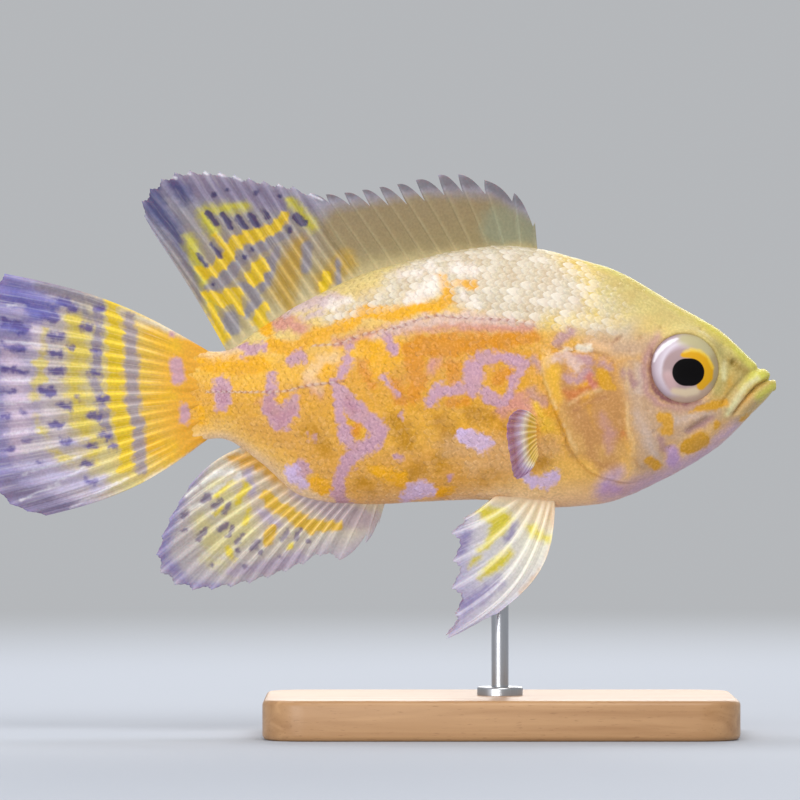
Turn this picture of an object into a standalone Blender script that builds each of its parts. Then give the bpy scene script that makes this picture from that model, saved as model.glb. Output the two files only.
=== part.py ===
"""Juvenile oscar fish, life-size, held on a plain display stand.

The fish faces +X with its right side towards -Y, and the origin is the centre of the stand's
underside. Lengths below are in millimetres, and MM turns them to metres when a mesh is made.
"""

from math import ceil, cos, pi, radians, sin

import bmesh
import bpy
from mathutils import Vector

MM = 0.001

# Thin cut between neighbouring pieces.
GAP = 0.3
# Reach of a cutter past the body's sides.
CUTTER_REACH = 14.0

# Body stations from tail to lips: x, height of the back, height of the belly,
# half width, height of the widest part.
BODY_STATIONS = {
    "tail_end": (-44.6, 54.7, 40.3, 0.45, 47.6),
    "tail_stem": (-38.6, 53.9, 41.3, 2.1, 47.6),
    "fin_bases_end": (-33.4, 57.2, 37.9, 3.2, 47.8),
    "rear_flank": (-28.0, 60.5, 33.4, 4.3, 48.0),
    "vent": (-19.6, 64.5, 32.2, 5.9, 48.6),
    "mid_flank": (-11.2, 66.8, 32.5, 7.1, 49.0),
    "belly": (-2.0, 68.5, 32.8, 7.8, 49.0),
    "nape": (5.3, 68.2, 31.8, 8.1, 48.4),
    "gill_rim": (11.2, 66.6, 32.0, 8.2, 47.6),
    "cheek": (16.8, 64.8, 33.0, 8.0, 46.8),
    "eye": (25.2, 59.9, 37.0, 6.9, 47.4),
    "snout": (30.8, 56.6, 40.6, 5.2, 48.0),
    "mouth": (35.0, 52.8, 44.7, 3.4, 48.6),
    "lips": (37.4, 50.5, 47.2, 2.1, 48.9),
    "lip_tip": (38.3, 49.5, 48.3, 0.9, 48.9),
}
BACK_FULLNESS = 2.0
BELLY_FULLNESS = 2.25
SIDE_FULLNESS = 2.1
BODY_RINGS = 46
BODY_SIDES = 30

# Where the body is parted, seen from the side.
REGION_LOW = 25.0
REGION_HIGH = 75.0
REGION_REAR = -50.0
REGION_FRONT = 45.0
TAIL_CUT_X = -33.6
GILL_RIM = ((5.6, 51.2), (7.4, 45.5), (9.5, 40.2), (12.6, 36.8))
GILL_CUT = ((9.4, 75.0), (8.6, 60.0), (7.6, 54.6), *GILL_RIM, (16.6, 34.8), (17.4, 25.0))
GILL_COVER_FRONT = ((15.4, 36.0), (18.0, 37.6), (17.9, 42.7), (17.1, 49.7), (15.4, 53.2), (9.0, 53.8))
GILL_COVER_INNER_Y = 4.8
MOUTH_LINE = ((40.0, 50.6), (37.5, 49.6), (34.3, 47.5), (31.5, 44.8))
UPPER_JAW_TOP = ((30.2, 45.8), (32.8, 48.9), (36.0, 51.7), (38.5, 54.0))
LOWER_JAW_REAR = ((31.2, 44.3), (29.4, 42.6), (27.4, 36.0))

# Lips: rolls that follow each jaw round the snout.
LIP_RADIUS = 0.85
LIP_CORNER = (31.9, 4.35)
LIP_TIP_X = 37.0
UPPER_LIP_HEIGHTS = (46.0, 50.1)
LOWER_LIP_HEIGHTS = (44.6, 48.5)
LOWER_LIP_FORWARD = 0.7

# Eyes: flattened balls that stand a little proud of the head and look a little forwards and up.
EYE_CENTRE = (25.4, 4.7, 51.2)
EYE_RADIUS = 5.3
EYE_HALF_DEPTH = 2.9
EYE_FORWARD_TURN = radians(12.0)
EYE_UPWARD_TILT = radians(6.0)
# A shallow dish round each eye, down to the edge of the part that shows.
ORBIT_RADIUS = 5.6
ORBIT_HALF_DEPTH = 0.85
ORBIT_HEIGHT = 1.9

# Fins: plates whose roots run into the body and are cut back to it.
FIN_THICKNESS = 0.6
FIN_ROOT_DEPTH = 2.0
ROOT_STEP = 4.0
DORSAL_SPINE_TIPS = (
    (4.9, 71.8), (2.0, 75.9), (-2.2, 77.7), (-5.9, 78.5), (-8.7, 78.4), (-11.8, 77.7),
    (-14.4, 77.1), (-16.9, 76.7), (-19.3, 76.3), (-21.8, 75.9), (-24.4, 75.7), (-26.6, 75.9),
)
DORSAL_NOTCH_FORWARD = 0.5
DORSAL_NOTCH_DEPTHS = (1.3, 2.5)
DORSAL_LOBE_CROWN = 0.7
DORSAL_BASE = (5.6, -38.2)
DORSAL_SOFT_EDGE = (
    (-30.8, 77.0), (-40.2, 79.1), (-46.6, 78.6), (-50.4, 74.6), (-49.0, 71.0), (-44.4, 64.9),
    (-41.4, 59.8), (-40.7, 56.4), (-38.2, 54.3),
)
ANAL_BASE = (-15.8, -35.6)
ANAL_SPINES = (
    (-16.2, 30.9), (-16.9, 29.6), (-18.7, 26.9), (-18.9, 28.2), (-20.8, 25.8), (-22.5, 24.4),
)
ANAL_SOFT_EDGE = (
    (-22.7, 26.6), (-28.0, 23.5), (-34.0, 21.4), (-40.0, 20.3), (-45.6, 20.8), (-48.2, 24.2),
    (-46.9, 29.4), (-44.6, 33.7), (-40.6, 38.2), (-37.6, 40.4), (-35.6, 41.0),
)
CAUDAL_EDGE = (
    (-40.0, 54.2), (-44.1, 55.8), (-50.4, 58.8), (-58.2, 62.0), (-65.4, 64.6), (-70.0, 64.4),
    (-72.6, 58.6), (-73.5, 49.0), (-72.4, 38.6), (-69.0, 32.6), (-64.4, 30.6), (-59.6, 30.5),
    (-53.6, 33.6), (-47.6, 37.2), (-43.6, 39.8), (-40.0, 41.1),
)
PELVIC_BASE_Y = 2.6
PELVIC_SPLAY = radians(13.5)
PELVIC_HINGE_Z = 32.5
PELVIC_FRONT_EDGE = (
    (8.0, 32.6), (7.7, 28.8), (6.4, 24.9), (3.1, 20.3), (-1.6, 16.7), (-5.0, 13.9), (-7.7, 13.6),
)
PELVIC_TEETH = ((-6.2, 16.2), (-6.7, 19.9), (-6.4, 23.2), (-7.0, 25.8), (-6.9, 28.2))
PELVIC_TOOTH_DEPTH = 1.1
PELVIC_TOOTH_GAP = 1.3
PELVIC_REAR_EDGE = ((-5.3, 30.0), (-2.8, 32.8))
PELVIC_ROOT = ((-1.0, 35.0), (7.4, 35.0))
PECTORAL_ROOT = (4.9, 7.2, 41.9)
PECTORAL_SWEEP = radians(13.0)
PECTORAL_EDGE = (
    (-0.8, 2.3), (3.0, 3.4), (8.0, 4.0), (12.2, 2.9), (14.3, -0.4), (13.6, -3.9), (10.2, -6.0),
    (5.4, -5.2), (1.6, -3.4), (-0.8, -2.5),
)

# Display stand: a base with one rod that enters the belly.
BASE_SIZE = (66.0, 40.0, 5.6)
BASE_CORNER_RADIUS = 6.0
BASE_EDGE_RADIUS = 0.8
ROD_RADIUS = 1.2
ROD_TOP_Z = 41.0
COLLAR_RADIUS = 3.2
COLLAR_HEIGHT = 1.6
COLLAR_INSET = 0.7
ROD_SIDES = 28
COLLAR_BEVEL = 0.35

# Colour, roughness and metallic value of each material.
FINISHES = {
    "oscar_head": ((0.80, 0.69, 0.42), 0.42, 0.0),
    "oscar_flank": ((0.84, 0.57, 0.24), 0.40, 0.0),
    "oscar_gill_cover": ((0.86, 0.60, 0.38), 0.36, 0.0),
    "oscar_jaw": ((0.86, 0.76, 0.56), 0.45, 0.0),
    "oscar_fin": ((0.74, 0.69, 0.58), 0.38, 0.0),
    "oscar_eye": ((0.83, 0.72, 0.70), 0.08, 0.0),
    "beech": ((0.71, 0.54, 0.37), 0.50, 0.0),
    "steel": ((0.62, 0.62, 0.61), 0.28, 1.0),
}


def clear_scene():
    for obj in list(bpy.data.objects):
        bpy.data.objects.remove(obj, do_unlink=True)


def finish(name):
    """The Principled material of this name."""
    material = bpy.data.materials.get(name)
    if material:
        return material
    colour, roughness, metallic = FINISHES[name]
    material = bpy.data.materials.new(name)
    material.use_nodes = True
    shader = material.node_tree.nodes["Principled BSDF"]
    shader.inputs["Base Color"].default_value = (*colour, 1.0)
    shader.inputs["Roughness"].default_value = roughness
    shader.inputs["Metallic"].default_value = metallic
    return material


def add_object(name, mesh_data, finish_name=None):
    obj = bpy.data.objects.new(name, mesh_data)
    bpy.context.scene.collection.objects.link(obj)
    if finish_name:
        mesh_data.materials.clear()
        mesh_data.materials.append(finish(finish_name))
    return obj


def mesh_from(name, bm):
    mesh = bpy.data.meshes.new(name)
    bm.normal_update()
    bmesh.ops.recalc_face_normals(bm, faces=bm.faces)
    bm.to_mesh(mesh)
    bm.free()
    return mesh


def as_cutter(obj):
    obj.hide_render = True
    obj.display_type = "WIRE"
    return obj


def boolean(obj, other, operation):
    modifier = obj.modifiers.new(operation.lower(), "BOOLEAN")
    modifier.operation = operation
    modifier.object = other
    modifier.solver = "EXACT"


def smooth(obj, angle):
    obj.data.shade_smooth()
    obj.data.set_sharp_from_angle(angle=angle)


def eased(stations, column, x):
    """One station value at x, on a cubic curve through the stations."""
    rows = sorted(stations.values())
    x = min(max(x, rows[0][0]), rows[-1][0])
    index = next(i for i in range(len(rows) - 1) if x <= rows[i + 1][0])
    left, right = rows[index], rows[index + 1]
    before = rows[max(index - 1, 0)]
    after = rows[min(index + 2, len(rows) - 1)]
    span = right[0] - left[0]
    slope_in = (right[column] - before[column]) / (right[0] - before[0]) * span
    slope_out = (after[column] - left[column]) / (after[0] - left[0]) * span
    t = (x - left[0]) / span
    return (
        left[column] * (2 * t**3 - 3 * t**2 + 1)
        + slope_in * (t**3 - 2 * t**2 + t)
        + right[column] * (3 * t**2 - 2 * t**3)
        + slope_out * (t**3 - t**2)
    )


def signed_power(value, power):
    return abs(value) ** power * (1 if value >= 0 else -1)


def body_ring(x, grow):
    """The points of one body section, from the back round the left side."""
    back = eased(BODY_STATIONS, 1, x) + grow
    belly = eased(BODY_STATIONS, 2, x) - grow
    half_width = eased(BODY_STATIONS, 3, x) + grow
    widest = eased(BODY_STATIONS, 4, x)
    points = []
    for side in range(BODY_SIDES):
        angle = 2 * pi * side / BODY_SIDES
        up = cos(angle)
        if up >= 0:
            reach, fullness = back - widest, BACK_FULLNESS
        else:
            reach, fullness = widest - belly, BELLY_FULLNESS
        z = widest + reach * signed_power(up, 2 / fullness)
        y = half_width * signed_power(sin(angle), 2 / SIDE_FULLNESS)
        points.append(Vector((x, y, z)) * MM)
    return points


def body_mesh(name, grow=0.0):
    """The whole body from tail end to lips, as rings bridged from end to end."""
    first = BODY_STATIONS["tail_end"][0]
    last = BODY_STATIONS["lip_tip"][0]
    bm = bmesh.new()
    rings = []
    for ring in range(BODY_RINGS + 1):
        # The rings crowd together towards the lips, where the shape turns fastest.
        share = sin(ring / BODY_RINGS * pi / 2)
        share = 0.45 * share + 0.55 * ring / BODY_RINGS
        x = first + (last - first) * share
        x += grow * (2 * share - 1)
        points = body_ring(min(max(x, first), last), grow)
        rings.append([bm.verts.new((x * MM, point.y, point.z)) for point in points])
    for near, far in zip(rings, rings[1:]):
        for side in range(BODY_SIDES):
            after = (side + 1) % BODY_SIDES
            bm.faces.new((near[side], near[after], far[after], far[side]))
    bm.faces.new(rings[0])
    bm.faces.new(rings[-1])
    return mesh_from(name, bm)


def spline(points, steps):
    """Points on a Catmull-Rom curve through the given ones, ends included."""
    padded = (points[0], *points, points[-1])
    line = []
    for i in range(len(points) - 1):
        a, b, c, d = (Vector(p) for p in padded[i : i + 4])
        for step in range(steps):
            t = step / steps
            line.append(
                0.5 * (2 * b + (c - a) * t + (2 * a - 5 * b + 4 * c - d) * t**2
                       + (3 * b - a - 3 * c + d) * t**3)
            )
    line.append(Vector(points[-1]))
    return line


def grown(outline, by):
    """A closed outline moved outwards by a distance."""
    points = [Vector(p) for p in outline]
    count = len(points)
    turn = sum(points[i - 1].cross(points[i]) for i in range(count))
    outward = 1 if turn > 0 else -1
    moved = []
    for i, point in enumerate(points):
        before = (point - points[i - 1]).normalized()
        after = (points[(i + 1) % count] - point).normalized()
        normals = [Vector((edge.y, -edge.x)) * outward for edge in (before, after)]
        middle = (normals[0] + normals[1]).normalized()
        moved.append(point + middle * by / max(middle.dot(normals[0]), 0.5))
    return moved


def prism(name, outline, low_y, high_y):
    """A side-view outline (x, z) given depth from low_y to high_y."""
    bm = bmesh.new()
    face = bm.faces.new([bm.verts.new((x * MM, low_y * MM, z * MM)) for x, z in outline])
    made = bmesh.ops.extrude_face_region(bm, geom=[face])["geom"]
    moved = [item for item in made if isinstance(item, bmesh.types.BMVert)]
    bmesh.ops.translate(bm, verts=moved, vec=(0, (high_y - low_y) * MM, 0))
    return mesh_from(name, bm)


def cutter(name, outline, grow=0.0, low_y=-CUTTER_REACH, high_y=CUTTER_REACH):
    shape = grown(outline, grow) if grow else outline
    return as_cutter(add_object(name, prism(name, shape, low_y, high_y)))


def side_range(side, inner):
    """The y range from an inner depth out past the body, on one side."""
    return (inner, CUTTER_REACH) if side > 0 else (-CUTTER_REACH, -inner)


def trunk_outline():
    return [(TAIL_CUT_X, REGION_LOW), (TAIL_CUT_X, REGION_HIGH), *GILL_CUT]


def tail_outline():
    front = TAIL_CUT_X - GAP
    return [(REGION_REAR, REGION_LOW), (REGION_REAR, REGION_HIGH), (front, REGION_HIGH), (front, REGION_LOW)]


def head_outline():
    return grown([*GILL_CUT, (REGION_FRONT, REGION_LOW), (REGION_FRONT, REGION_HIGH)], -GAP)


def gill_cover_outline():
    return [*GILL_RIM, *GILL_COVER_FRONT]


def upper_jaw_outline():
    return [*MOUTH_LINE, *UPPER_JAW_TOP]


def lower_jaw_outline():
    return [*MOUTH_LINE, *LOWER_JAW_REAR, (MOUTH_LINE[0][0], LOWER_JAW_REAR[-1][1])]


def eye_ball(name, side, radius=EYE_RADIUS, half_depth=EYE_HALF_DEPTH, out=0.0):
    """A flattened ball in line with one eye, moved out along the way the eye looks."""
    bm = bmesh.new()
    bmesh.ops.create_uvsphere(bm, u_segments=28, v_segments=14, radius=1.0)
    # The ball's poles face sideways, so its rings run round the pupil.
    for vert in bm.verts:
        x, y, z = vert.co
        vert.co = Vector((x * radius, z * half_depth + side * out, -y * radius)) * MM
    obj = add_object(name, mesh_from(name, bm))
    obj.location = Vector((EYE_CENTRE[0], side * EYE_CENTRE[1], EYE_CENTRE[2])) * MM
    obj.rotation_euler = (side * EYE_UPWARD_TILT, 0, -side * EYE_FORWARD_TURN)
    return obj


def lip_roll(name, heights, forward):
    """A tube round the snout from one mouth corner to the other."""
    curve = bpy.data.curves.new(name, "CURVE")
    curve.dimensions = "3D"
    curve.bevel_depth = LIP_RADIUS * MM
    curve.bevel_resolution = 2
    curve.use_fill_caps = True
    line = curve.splines.new("POLY")
    steps = 16
    line.points.add(steps)
    corner_x, corner_y = LIP_CORNER
    for i, point in enumerate(line.points):
        angle = pi * i / steps
        ahead = sin(angle)
        x = corner_x + (LIP_TIP_X + forward - corner_x) * ahead
        y = corner_y * cos(angle)
        z = heights[0] + (heights[1] - heights[0]) * ahead
        point.co = (x * MM, y * MM, z * MM, 1.0)
    obj = bpy.data.objects.new(name, curve)
    bpy.context.scene.collection.objects.link(obj)
    graph = bpy.context.evaluated_depsgraph_get()
    mesh = bpy.data.meshes.new_from_object(obj.evaluated_get(graph))
    bpy.data.objects.remove(obj)
    roll = add_object(name, mesh)
    bm = bmesh.new()
    bm.from_mesh(mesh)
    bmesh.ops.remove_doubles(bm, verts=bm.verts, dist=0.00001)
    bmesh.ops.recalc_face_normals(bm, faces=bm.faces)
    bm.to_mesh(mesh)
    bm.free()
    return as_cutter(roll)


def body_piece(name, finish_name):
    obj = add_object(name, body_mesh(name), finish_name)
    smooth(obj, radians(35))
    return obj


def build_body():
    """The trunk and the tail stem."""
    trunk = body_piece("trunk", "oscar_flank")
    boolean(trunk, cutter("trunk_region", trunk_outline()), "INTERSECT")
    socket = rod_shape("rod_socket", ROD_RADIUS + GAP, REGION_LOW, ROD_TOP_Z + GAP)
    boolean(trunk, as_cutter(socket), "DIFFERENCE")
    tail = body_piece("tail_stem", "oscar_flank")
    boolean(tail, cutter("tail_region", tail_outline()), "INTERSECT")


def build_head():
    """The head with its jaws, gill covers and eyes cut out, and those pieces."""
    head = body_piece("head", "oscar_head")
    boolean(head, cutter("head_region", head_outline()), "INTERSECT")
    boolean(head, cutter("upper_jaw_room", upper_jaw_outline(), GAP), "DIFFERENCE")
    boolean(head, cutter("lower_jaw_room", lower_jaw_outline(), GAP), "DIFFERENCE")
    trunk_room = cutter("trunk_room", trunk_outline(), GAP)
    for side, label in ((-1, "right"), (1, "left")):
        low, high = side_range(side, GILL_COVER_INNER_Y - GAP)
        room = cutter(f"gill_cover_room_{label}", gill_cover_outline(), GAP, low, high)
        boolean(head, room, "DIFFERENCE")
        socket = eye_ball(f"eye_socket_{label}", side, EYE_RADIUS + GAP, EYE_HALF_DEPTH + GAP)
        boolean(head, as_cutter(socket), "DIFFERENCE")
        orbit = eye_ball(f"orbit_{label}", side, ORBIT_RADIUS, ORBIT_HALF_DEPTH, ORBIT_HEIGHT)
        boolean(head, as_cutter(orbit), "DIFFERENCE")
        cover = body_piece(f"gill_cover_{label}", "oscar_gill_cover")
        low, high = side_range(side, GILL_COVER_INNER_Y)
        region = cutter(f"gill_cover_region_{label}", gill_cover_outline(), 0.0, low, high)
        boolean(cover, region, "INTERSECT")
        boolean(cover, trunk_room, "DIFFERENCE")
        eye = eye_ball(f"eye_{label}", side)
        eye.data.materials.append(finish("oscar_eye"))
        eye.data.shade_smooth()
    build_jaw("upper_jaw", upper_jaw_outline(), UPPER_LIP_HEIGHTS, 0.0)
    lower_jaw = build_jaw("lower_jaw", lower_jaw_outline(), LOWER_LIP_HEIGHTS, LOWER_LIP_FORWARD)
    boolean(lower_jaw, bpy.data.objects["upper_jaw_room"], "DIFFERENCE")


def build_jaw(name, outline, lip_heights, forward):
    """One jaw: its share of the snout with a lip roll on its edge."""
    jaw = body_piece(name, "oscar_jaw")
    boolean(jaw, lip_roll(f"{name}_lip", lip_heights, forward), "UNION")
    boolean(jaw, cutter(f"{name}_region", outline), "INTERSECT")
    return jaw


def dorsal_outline():
    """The dorsal fin: hooked lobes along the spines, then the tall soft part."""
    count = len(DORSAL_SPINE_TIPS)
    shallow, deep = DORSAL_NOTCH_DEPTHS
    edge = [Vector((DORSAL_BASE[0], back_height(DORSAL_BASE[0])))]
    for i, tip in enumerate(DORSAL_SPINE_TIPS):
        tip = Vector(tip)
        before = edge[-1]
        crown = (before + tip) / 2 + Vector((DORSAL_LOBE_CROWN / 2, DORSAL_LOBE_CROWN))
        depth = shallow + (deep - shallow) * sin(pi * i / (count - 1))
        edge += [crown, tip, tip + Vector((DORSAL_NOTCH_FORWARD, -depth))]
    edge += spline((tuple(edge[-1]), *DORSAL_SOFT_EDGE), 3)[1:]
    return edge + root_line(DORSAL_BASE[1], DORSAL_BASE[0], back_height, -FIN_ROOT_DEPTH)


def back_height(x):
    return eased(BODY_STATIONS, 1, x)


def belly_height(x):
    return eased(BODY_STATIONS, 2, x)


def root_line(start_x, end_x, height, offset):
    """A fin's root, inside the body, from one end of its base to the other."""
    steps = ceil(abs(end_x - start_x) / ROOT_STEP)
    xs = [start_x + (end_x - start_x) * i / steps for i in range(steps + 1)]
    return [Vector((x, height(x) + offset)) for x in xs]


def anal_outline():
    edge = [Vector((ANAL_BASE[0], belly_height(ANAL_BASE[0])))]
    edge += [Vector(p) for p in ANAL_SPINES]
    edge += spline(ANAL_SOFT_EDGE, 3)
    return edge + root_line(ANAL_BASE[1], ANAL_BASE[0], belly_height, FIN_ROOT_DEPTH)


def pelvic_outline():
    """The pelvic fin: a smooth front edge, and a rear edge that the ray tips make toothed."""
    edge = spline(PELVIC_FRONT_EDGE, 3)
    for x, z in PELVIC_TEETH:
        edge += [Vector((x + PELVIC_TOOTH_DEPTH, z - PELVIC_TOOTH_GAP)), Vector((x, z))]
    edge += [Vector(p) for p in PELVIC_REAR_EDGE]
    edge += [Vector(p) for p in PELVIC_ROOT]
    return [Vector((p.x, (p.y - PELVIC_HINGE_Z) / cos(PELVIC_SPLAY))) for p in edge]


def fin_plate(name, outline):
    plate = add_object(name, prism(name, outline, -FIN_THICKNESS / 2, FIN_THICKNESS / 2), "oscar_fin")
    boolean(plate, bpy.data.objects["body_clearance"], "DIFFERENCE")
    return plate


def build_fins():
    fin_plate("dorsal_fin", dorsal_outline())
    fin_plate("anal_fin", anal_outline())
    fin_plate("caudal_fin", spline(CAUDAL_EDGE, 3))
    for side, label in ((-1, "right"), (1, "left")):
        pelvic = fin_plate(f"pelvic_fin_{label}", pelvic_outline())
        pelvic.location = Vector((0, side * PELVIC_BASE_Y, PELVIC_HINGE_Z)) * MM
        pelvic.rotation_euler.x = side * PELVIC_SPLAY
        pectoral = fin_plate(f"pectoral_fin_{label}", spline(PECTORAL_EDGE, 3))
        x, y, z = PECTORAL_ROOT
        pectoral.location = Vector((x, side * y, z)) * MM
        pectoral.rotation_euler.z = side * (pi / 2 + PECTORAL_SWEEP)


def rod_shape(name, radius, low_z, high_z):
    bm = bmesh.new()
    bmesh.ops.create_cone(
        bm, cap_ends=True, segments=ROD_SIDES,
        radius1=radius * MM, radius2=radius * MM, depth=(high_z - low_z) * MM,
    )
    bmesh.ops.translate(bm, verts=bm.verts, vec=(0, 0, (low_z + high_z) / 2 * MM))
    return add_object(name, mesh_from(name, bm))


def build_stand():
    """A rounded base, and a rod on a collar that sits in a shallow recess."""
    length, width, height = BASE_SIZE
    bm = bmesh.new()
    bmesh.ops.create_cube(bm, size=1.0)
    bmesh.ops.scale(bm, verts=bm.verts, vec=(length * MM, width * MM, height * MM))
    bmesh.ops.translate(bm, verts=bm.verts, vec=(0, 0, height / 2 * MM))
    upright = [edge for edge in bm.edges if abs(edge.verts[0].co.z - edge.verts[1].co.z) > 0.5 * height * MM]
    bmesh.ops.bevel(bm, geom=upright, offset=BASE_CORNER_RADIUS * MM, segments=8, affect="EDGES", profile=0.5)
    rim = [edge for edge in bm.edges if min(vert.co.z for vert in edge.verts) > 0.99 * height * MM]
    bmesh.ops.bevel(bm, geom=rim, offset=BASE_EDGE_RADIUS * MM, segments=3, affect="EDGES", profile=0.5)
    base = add_object("stand_base", mesh_from("stand_base", bm), "beech")
    smooth(base, radians(30))
    recess = rod_shape("collar_recess", COLLAR_RADIUS + GAP, height - COLLAR_INSET, 2 * height)
    boolean(base, as_cutter(recess), "DIFFERENCE")

    foot = height - COLLAR_INSET + GAP
    rod = rod_shape("stand_rod", ROD_RADIUS, foot, ROD_TOP_Z)
    rod.data.materials.append(finish("steel"))
    collar = as_cutter(rod_shape("rod_collar", COLLAR_RADIUS, foot, foot + COLLAR_HEIGHT))
    bevel = collar.modifiers.new("soft_rim", "BEVEL")
    bevel.width = COLLAR_BEVEL * MM
    bevel.segments = 2
    bevel.angle_limit = radians(60)
    boolean(rod, collar, "UNION")
    smooth(rod, radians(30))


def build():
    clear_scene()
    as_cutter(add_object("body_clearance", body_mesh("body_clearance", GAP)))
    build_body()
    build_head()
    build_fins()
    build_stand()


build()
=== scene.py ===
import math
import bpy
import numpy as np
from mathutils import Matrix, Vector, noise


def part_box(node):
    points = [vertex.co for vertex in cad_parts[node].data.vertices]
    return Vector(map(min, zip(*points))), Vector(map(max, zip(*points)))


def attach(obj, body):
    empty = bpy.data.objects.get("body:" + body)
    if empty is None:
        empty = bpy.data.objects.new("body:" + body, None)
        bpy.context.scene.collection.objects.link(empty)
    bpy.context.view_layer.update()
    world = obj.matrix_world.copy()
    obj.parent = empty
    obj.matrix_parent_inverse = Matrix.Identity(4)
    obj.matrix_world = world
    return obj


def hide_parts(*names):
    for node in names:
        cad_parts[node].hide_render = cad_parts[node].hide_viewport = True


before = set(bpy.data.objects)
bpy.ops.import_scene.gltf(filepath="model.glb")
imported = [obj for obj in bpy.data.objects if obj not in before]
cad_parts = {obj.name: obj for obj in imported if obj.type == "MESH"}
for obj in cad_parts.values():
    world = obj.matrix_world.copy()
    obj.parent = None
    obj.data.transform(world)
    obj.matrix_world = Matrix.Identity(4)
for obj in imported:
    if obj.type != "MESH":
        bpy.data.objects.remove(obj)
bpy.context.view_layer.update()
mm = 0.001  # every size below is in millimetres, and mm turns it to metres
farAway = 1e9  # a start for nearest distances
noiseSteps = (17.3, 5.1, 11.7)  # how far each seed moves a noise pattern

# The photo's pixels, where marks and folds are placed: one pixel is 0.14 mm on the fish
photo = {
    "mmPerPixel": 0.14, "zeroX": 500, "zeroY": 735, "cameraX": -14.0, "cameraZ": 46.9, "cameraAway": 1000.0,
}


def fromPhoto(points):
    points = np.array(points, float)
    points[..., 0] = (points[..., 0] - photo["zeroX"]) * photo["mmPerPixel"]
    points[..., 1] = (photo["zeroY"] - points[..., 1]) * photo["mmPerPixel"]
    if points.shape[-1] > 2:
        points[..., 2] *= photo["mmPerPixel"]
    return points


def asSeen(points):
    # Where the camera sees each point against the fish's middle plane; the far side is taken as mirrored
    grown = photo["cameraAway"] / (photo["cameraAway"] - np.abs(points[:, 1]))
    x = photo["cameraX"] + (points[:, 0] - photo["cameraX"]) * grown
    z = photo["cameraZ"] + (points[:, 2] - photo["cameraZ"]) * grown
    return x, z


def easedColumn(rows, column, x):
    # A smooth curve through one column of a table, by the x in its first column
    rows = np.array(rows, float)
    xs, ys = rows[:, 0], rows[:, column]
    slopes = np.empty(len(xs))
    slopes[1:-1] = (ys[2:] - ys[:-2]) / (xs[2:] - xs[:-2])
    slopes[0] = (ys[1] - ys[0]) / (xs[1] - xs[0])
    slopes[-1] = (ys[-1] - ys[-2]) / (xs[-1] - xs[-2])
    x = np.clip(x, xs[0], xs[-1])
    i = np.clip(np.searchsorted(xs, x) - 1, 0, len(xs) - 2)
    span = xs[i + 1] - xs[i]
    t = (x - xs[i]) / span
    return (ys[i] * (2 * t**3 - 3 * t**2 + 1) + slopes[i] * span * (t**3 - 2 * t**2 + t)
            + ys[i + 1] * (3 * t**2 - 2 * t**3) + slopes[i + 1] * span * (t**3 - t**2))


def smoothStep(low, high, value):
    t = np.clip((value - low) / (high - low), 0, 1)
    return t * t * (3 - 2 * t)


def tapered(share, first, last):
    # Rises over the first part of a line and falls over the last
    return smoothStep(0, first, share) * smoothStep(1, 1 - last, share)


def bell(distance, width):
    return np.exp(-(distance / width) ** 2)


def signedPower(value, power):
    return np.sign(value) * np.abs(value) ** power


def alongLine(points, x, z):
    # Signed distance to an open line (positive on its left), and the share of the way along it
    best = np.full(np.shape(x), farAway)
    signed = np.zeros(np.shape(x))
    along = np.zeros(np.shape(x))
    count = len(points) - 1
    for i in range(count):
        (ax, az), (bx, bz) = points[i][:2], points[i + 1][:2]
        dx, dz = bx - ax, bz - az
        t = np.clip(((x - ax) * dx + (z - az) * dz) / (dx * dx + dz * dz), 0, 1)
        ex, ez = x - ax - t * dx, z - az - t * dz
        distance = np.hypot(ex, ez)
        nearer = distance < best
        best = np.where(nearer, distance, best)
        signed = np.where(nearer, np.where(dx * ez - dz * ex >= 0, distance, -distance), signed)
        along = np.where(nearer, (i + t) / count, along)
    return signed, along


def throughPoints(points, steps=10):
    # A smooth curve through given points
    points = np.array(points, float)
    padded = np.vstack([points[0], points, points[-1]])
    line = []
    for i in range(len(points) - 1):
        a, b, c, d = padded[i:i + 4]
        for step in range(steps):
            t = step / steps
            line.append(0.5 * (2 * b + (c - a) * t + (2 * a - 5 * b + 4 * c - d) * t**2
                               + (3 * b - a - 3 * c + d) * t**3))
    line.append(points[-1])
    return np.array(line)


def evenly(line, count):
    # The same line with evenly spaced points
    tubeGapShade = np.hypot(*np.diff(line[:, :2], axis=0).T)
    way = np.concatenate([[0], np.cumsum(tubeGapShade)])
    wanted = np.linspace(0, way[-1], count)
    return np.stack([np.interp(wanted, way, line[:, i]) for i in range(line.shape[1])], axis=1)


def unevenness(points, size, seed):
    # Smooth noise, one value for each point, about -1 to 1
    offset = Vector([seed * step for step in noiseSteps])
    return np.array([noise.noise(Vector(p) / size + offset) for p in points])


def srgb(code):
    # An sRGB hex colour as linear red, green, blue and alpha
    channels = [int(code[i:i + 2], 16) / 255 for i in (1, 3, 5)]
    return [c / 12.92 if c <= 0.04045 else ((c + 0.055) / 1.055) ** 2.4 for c in channels] + [1.0]


def addNode(tree, kind, settings=None, links=None):
    node = tree.nodes.new(kind)
    for key, value in (settings or {}).items():
        if isinstance(key, str) and hasattr(node, key):
            setattr(node, key, value)
        else:
            node.inputs[key].default_value = value
    for key, source in (links or {}).items():
        tree.links.new(source, node.inputs[key])
    return node


def newMaterial(name, settings):
    material = bpy.data.materials.new(name)
    material.use_nodes = True
    tree = material.node_tree
    shader = tree.nodes["Principled BSDF"]
    for key, value in settings.items():
        shader.inputs[key].default_value = value
    return material, tree, shader


def gridFaces(rows, columns, closed=False):
    across = columns if closed else columns - 1
    r, c = np.meshgrid(np.arange(rows - 1), np.arange(across), indexing="ij")
    after = (c + 1) % columns
    return np.stack([r * columns + c, r * columns + after, (r + 1) * columns + after, (r + 1) * columns + c],
                    axis=-1).reshape(-1, 4)


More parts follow.
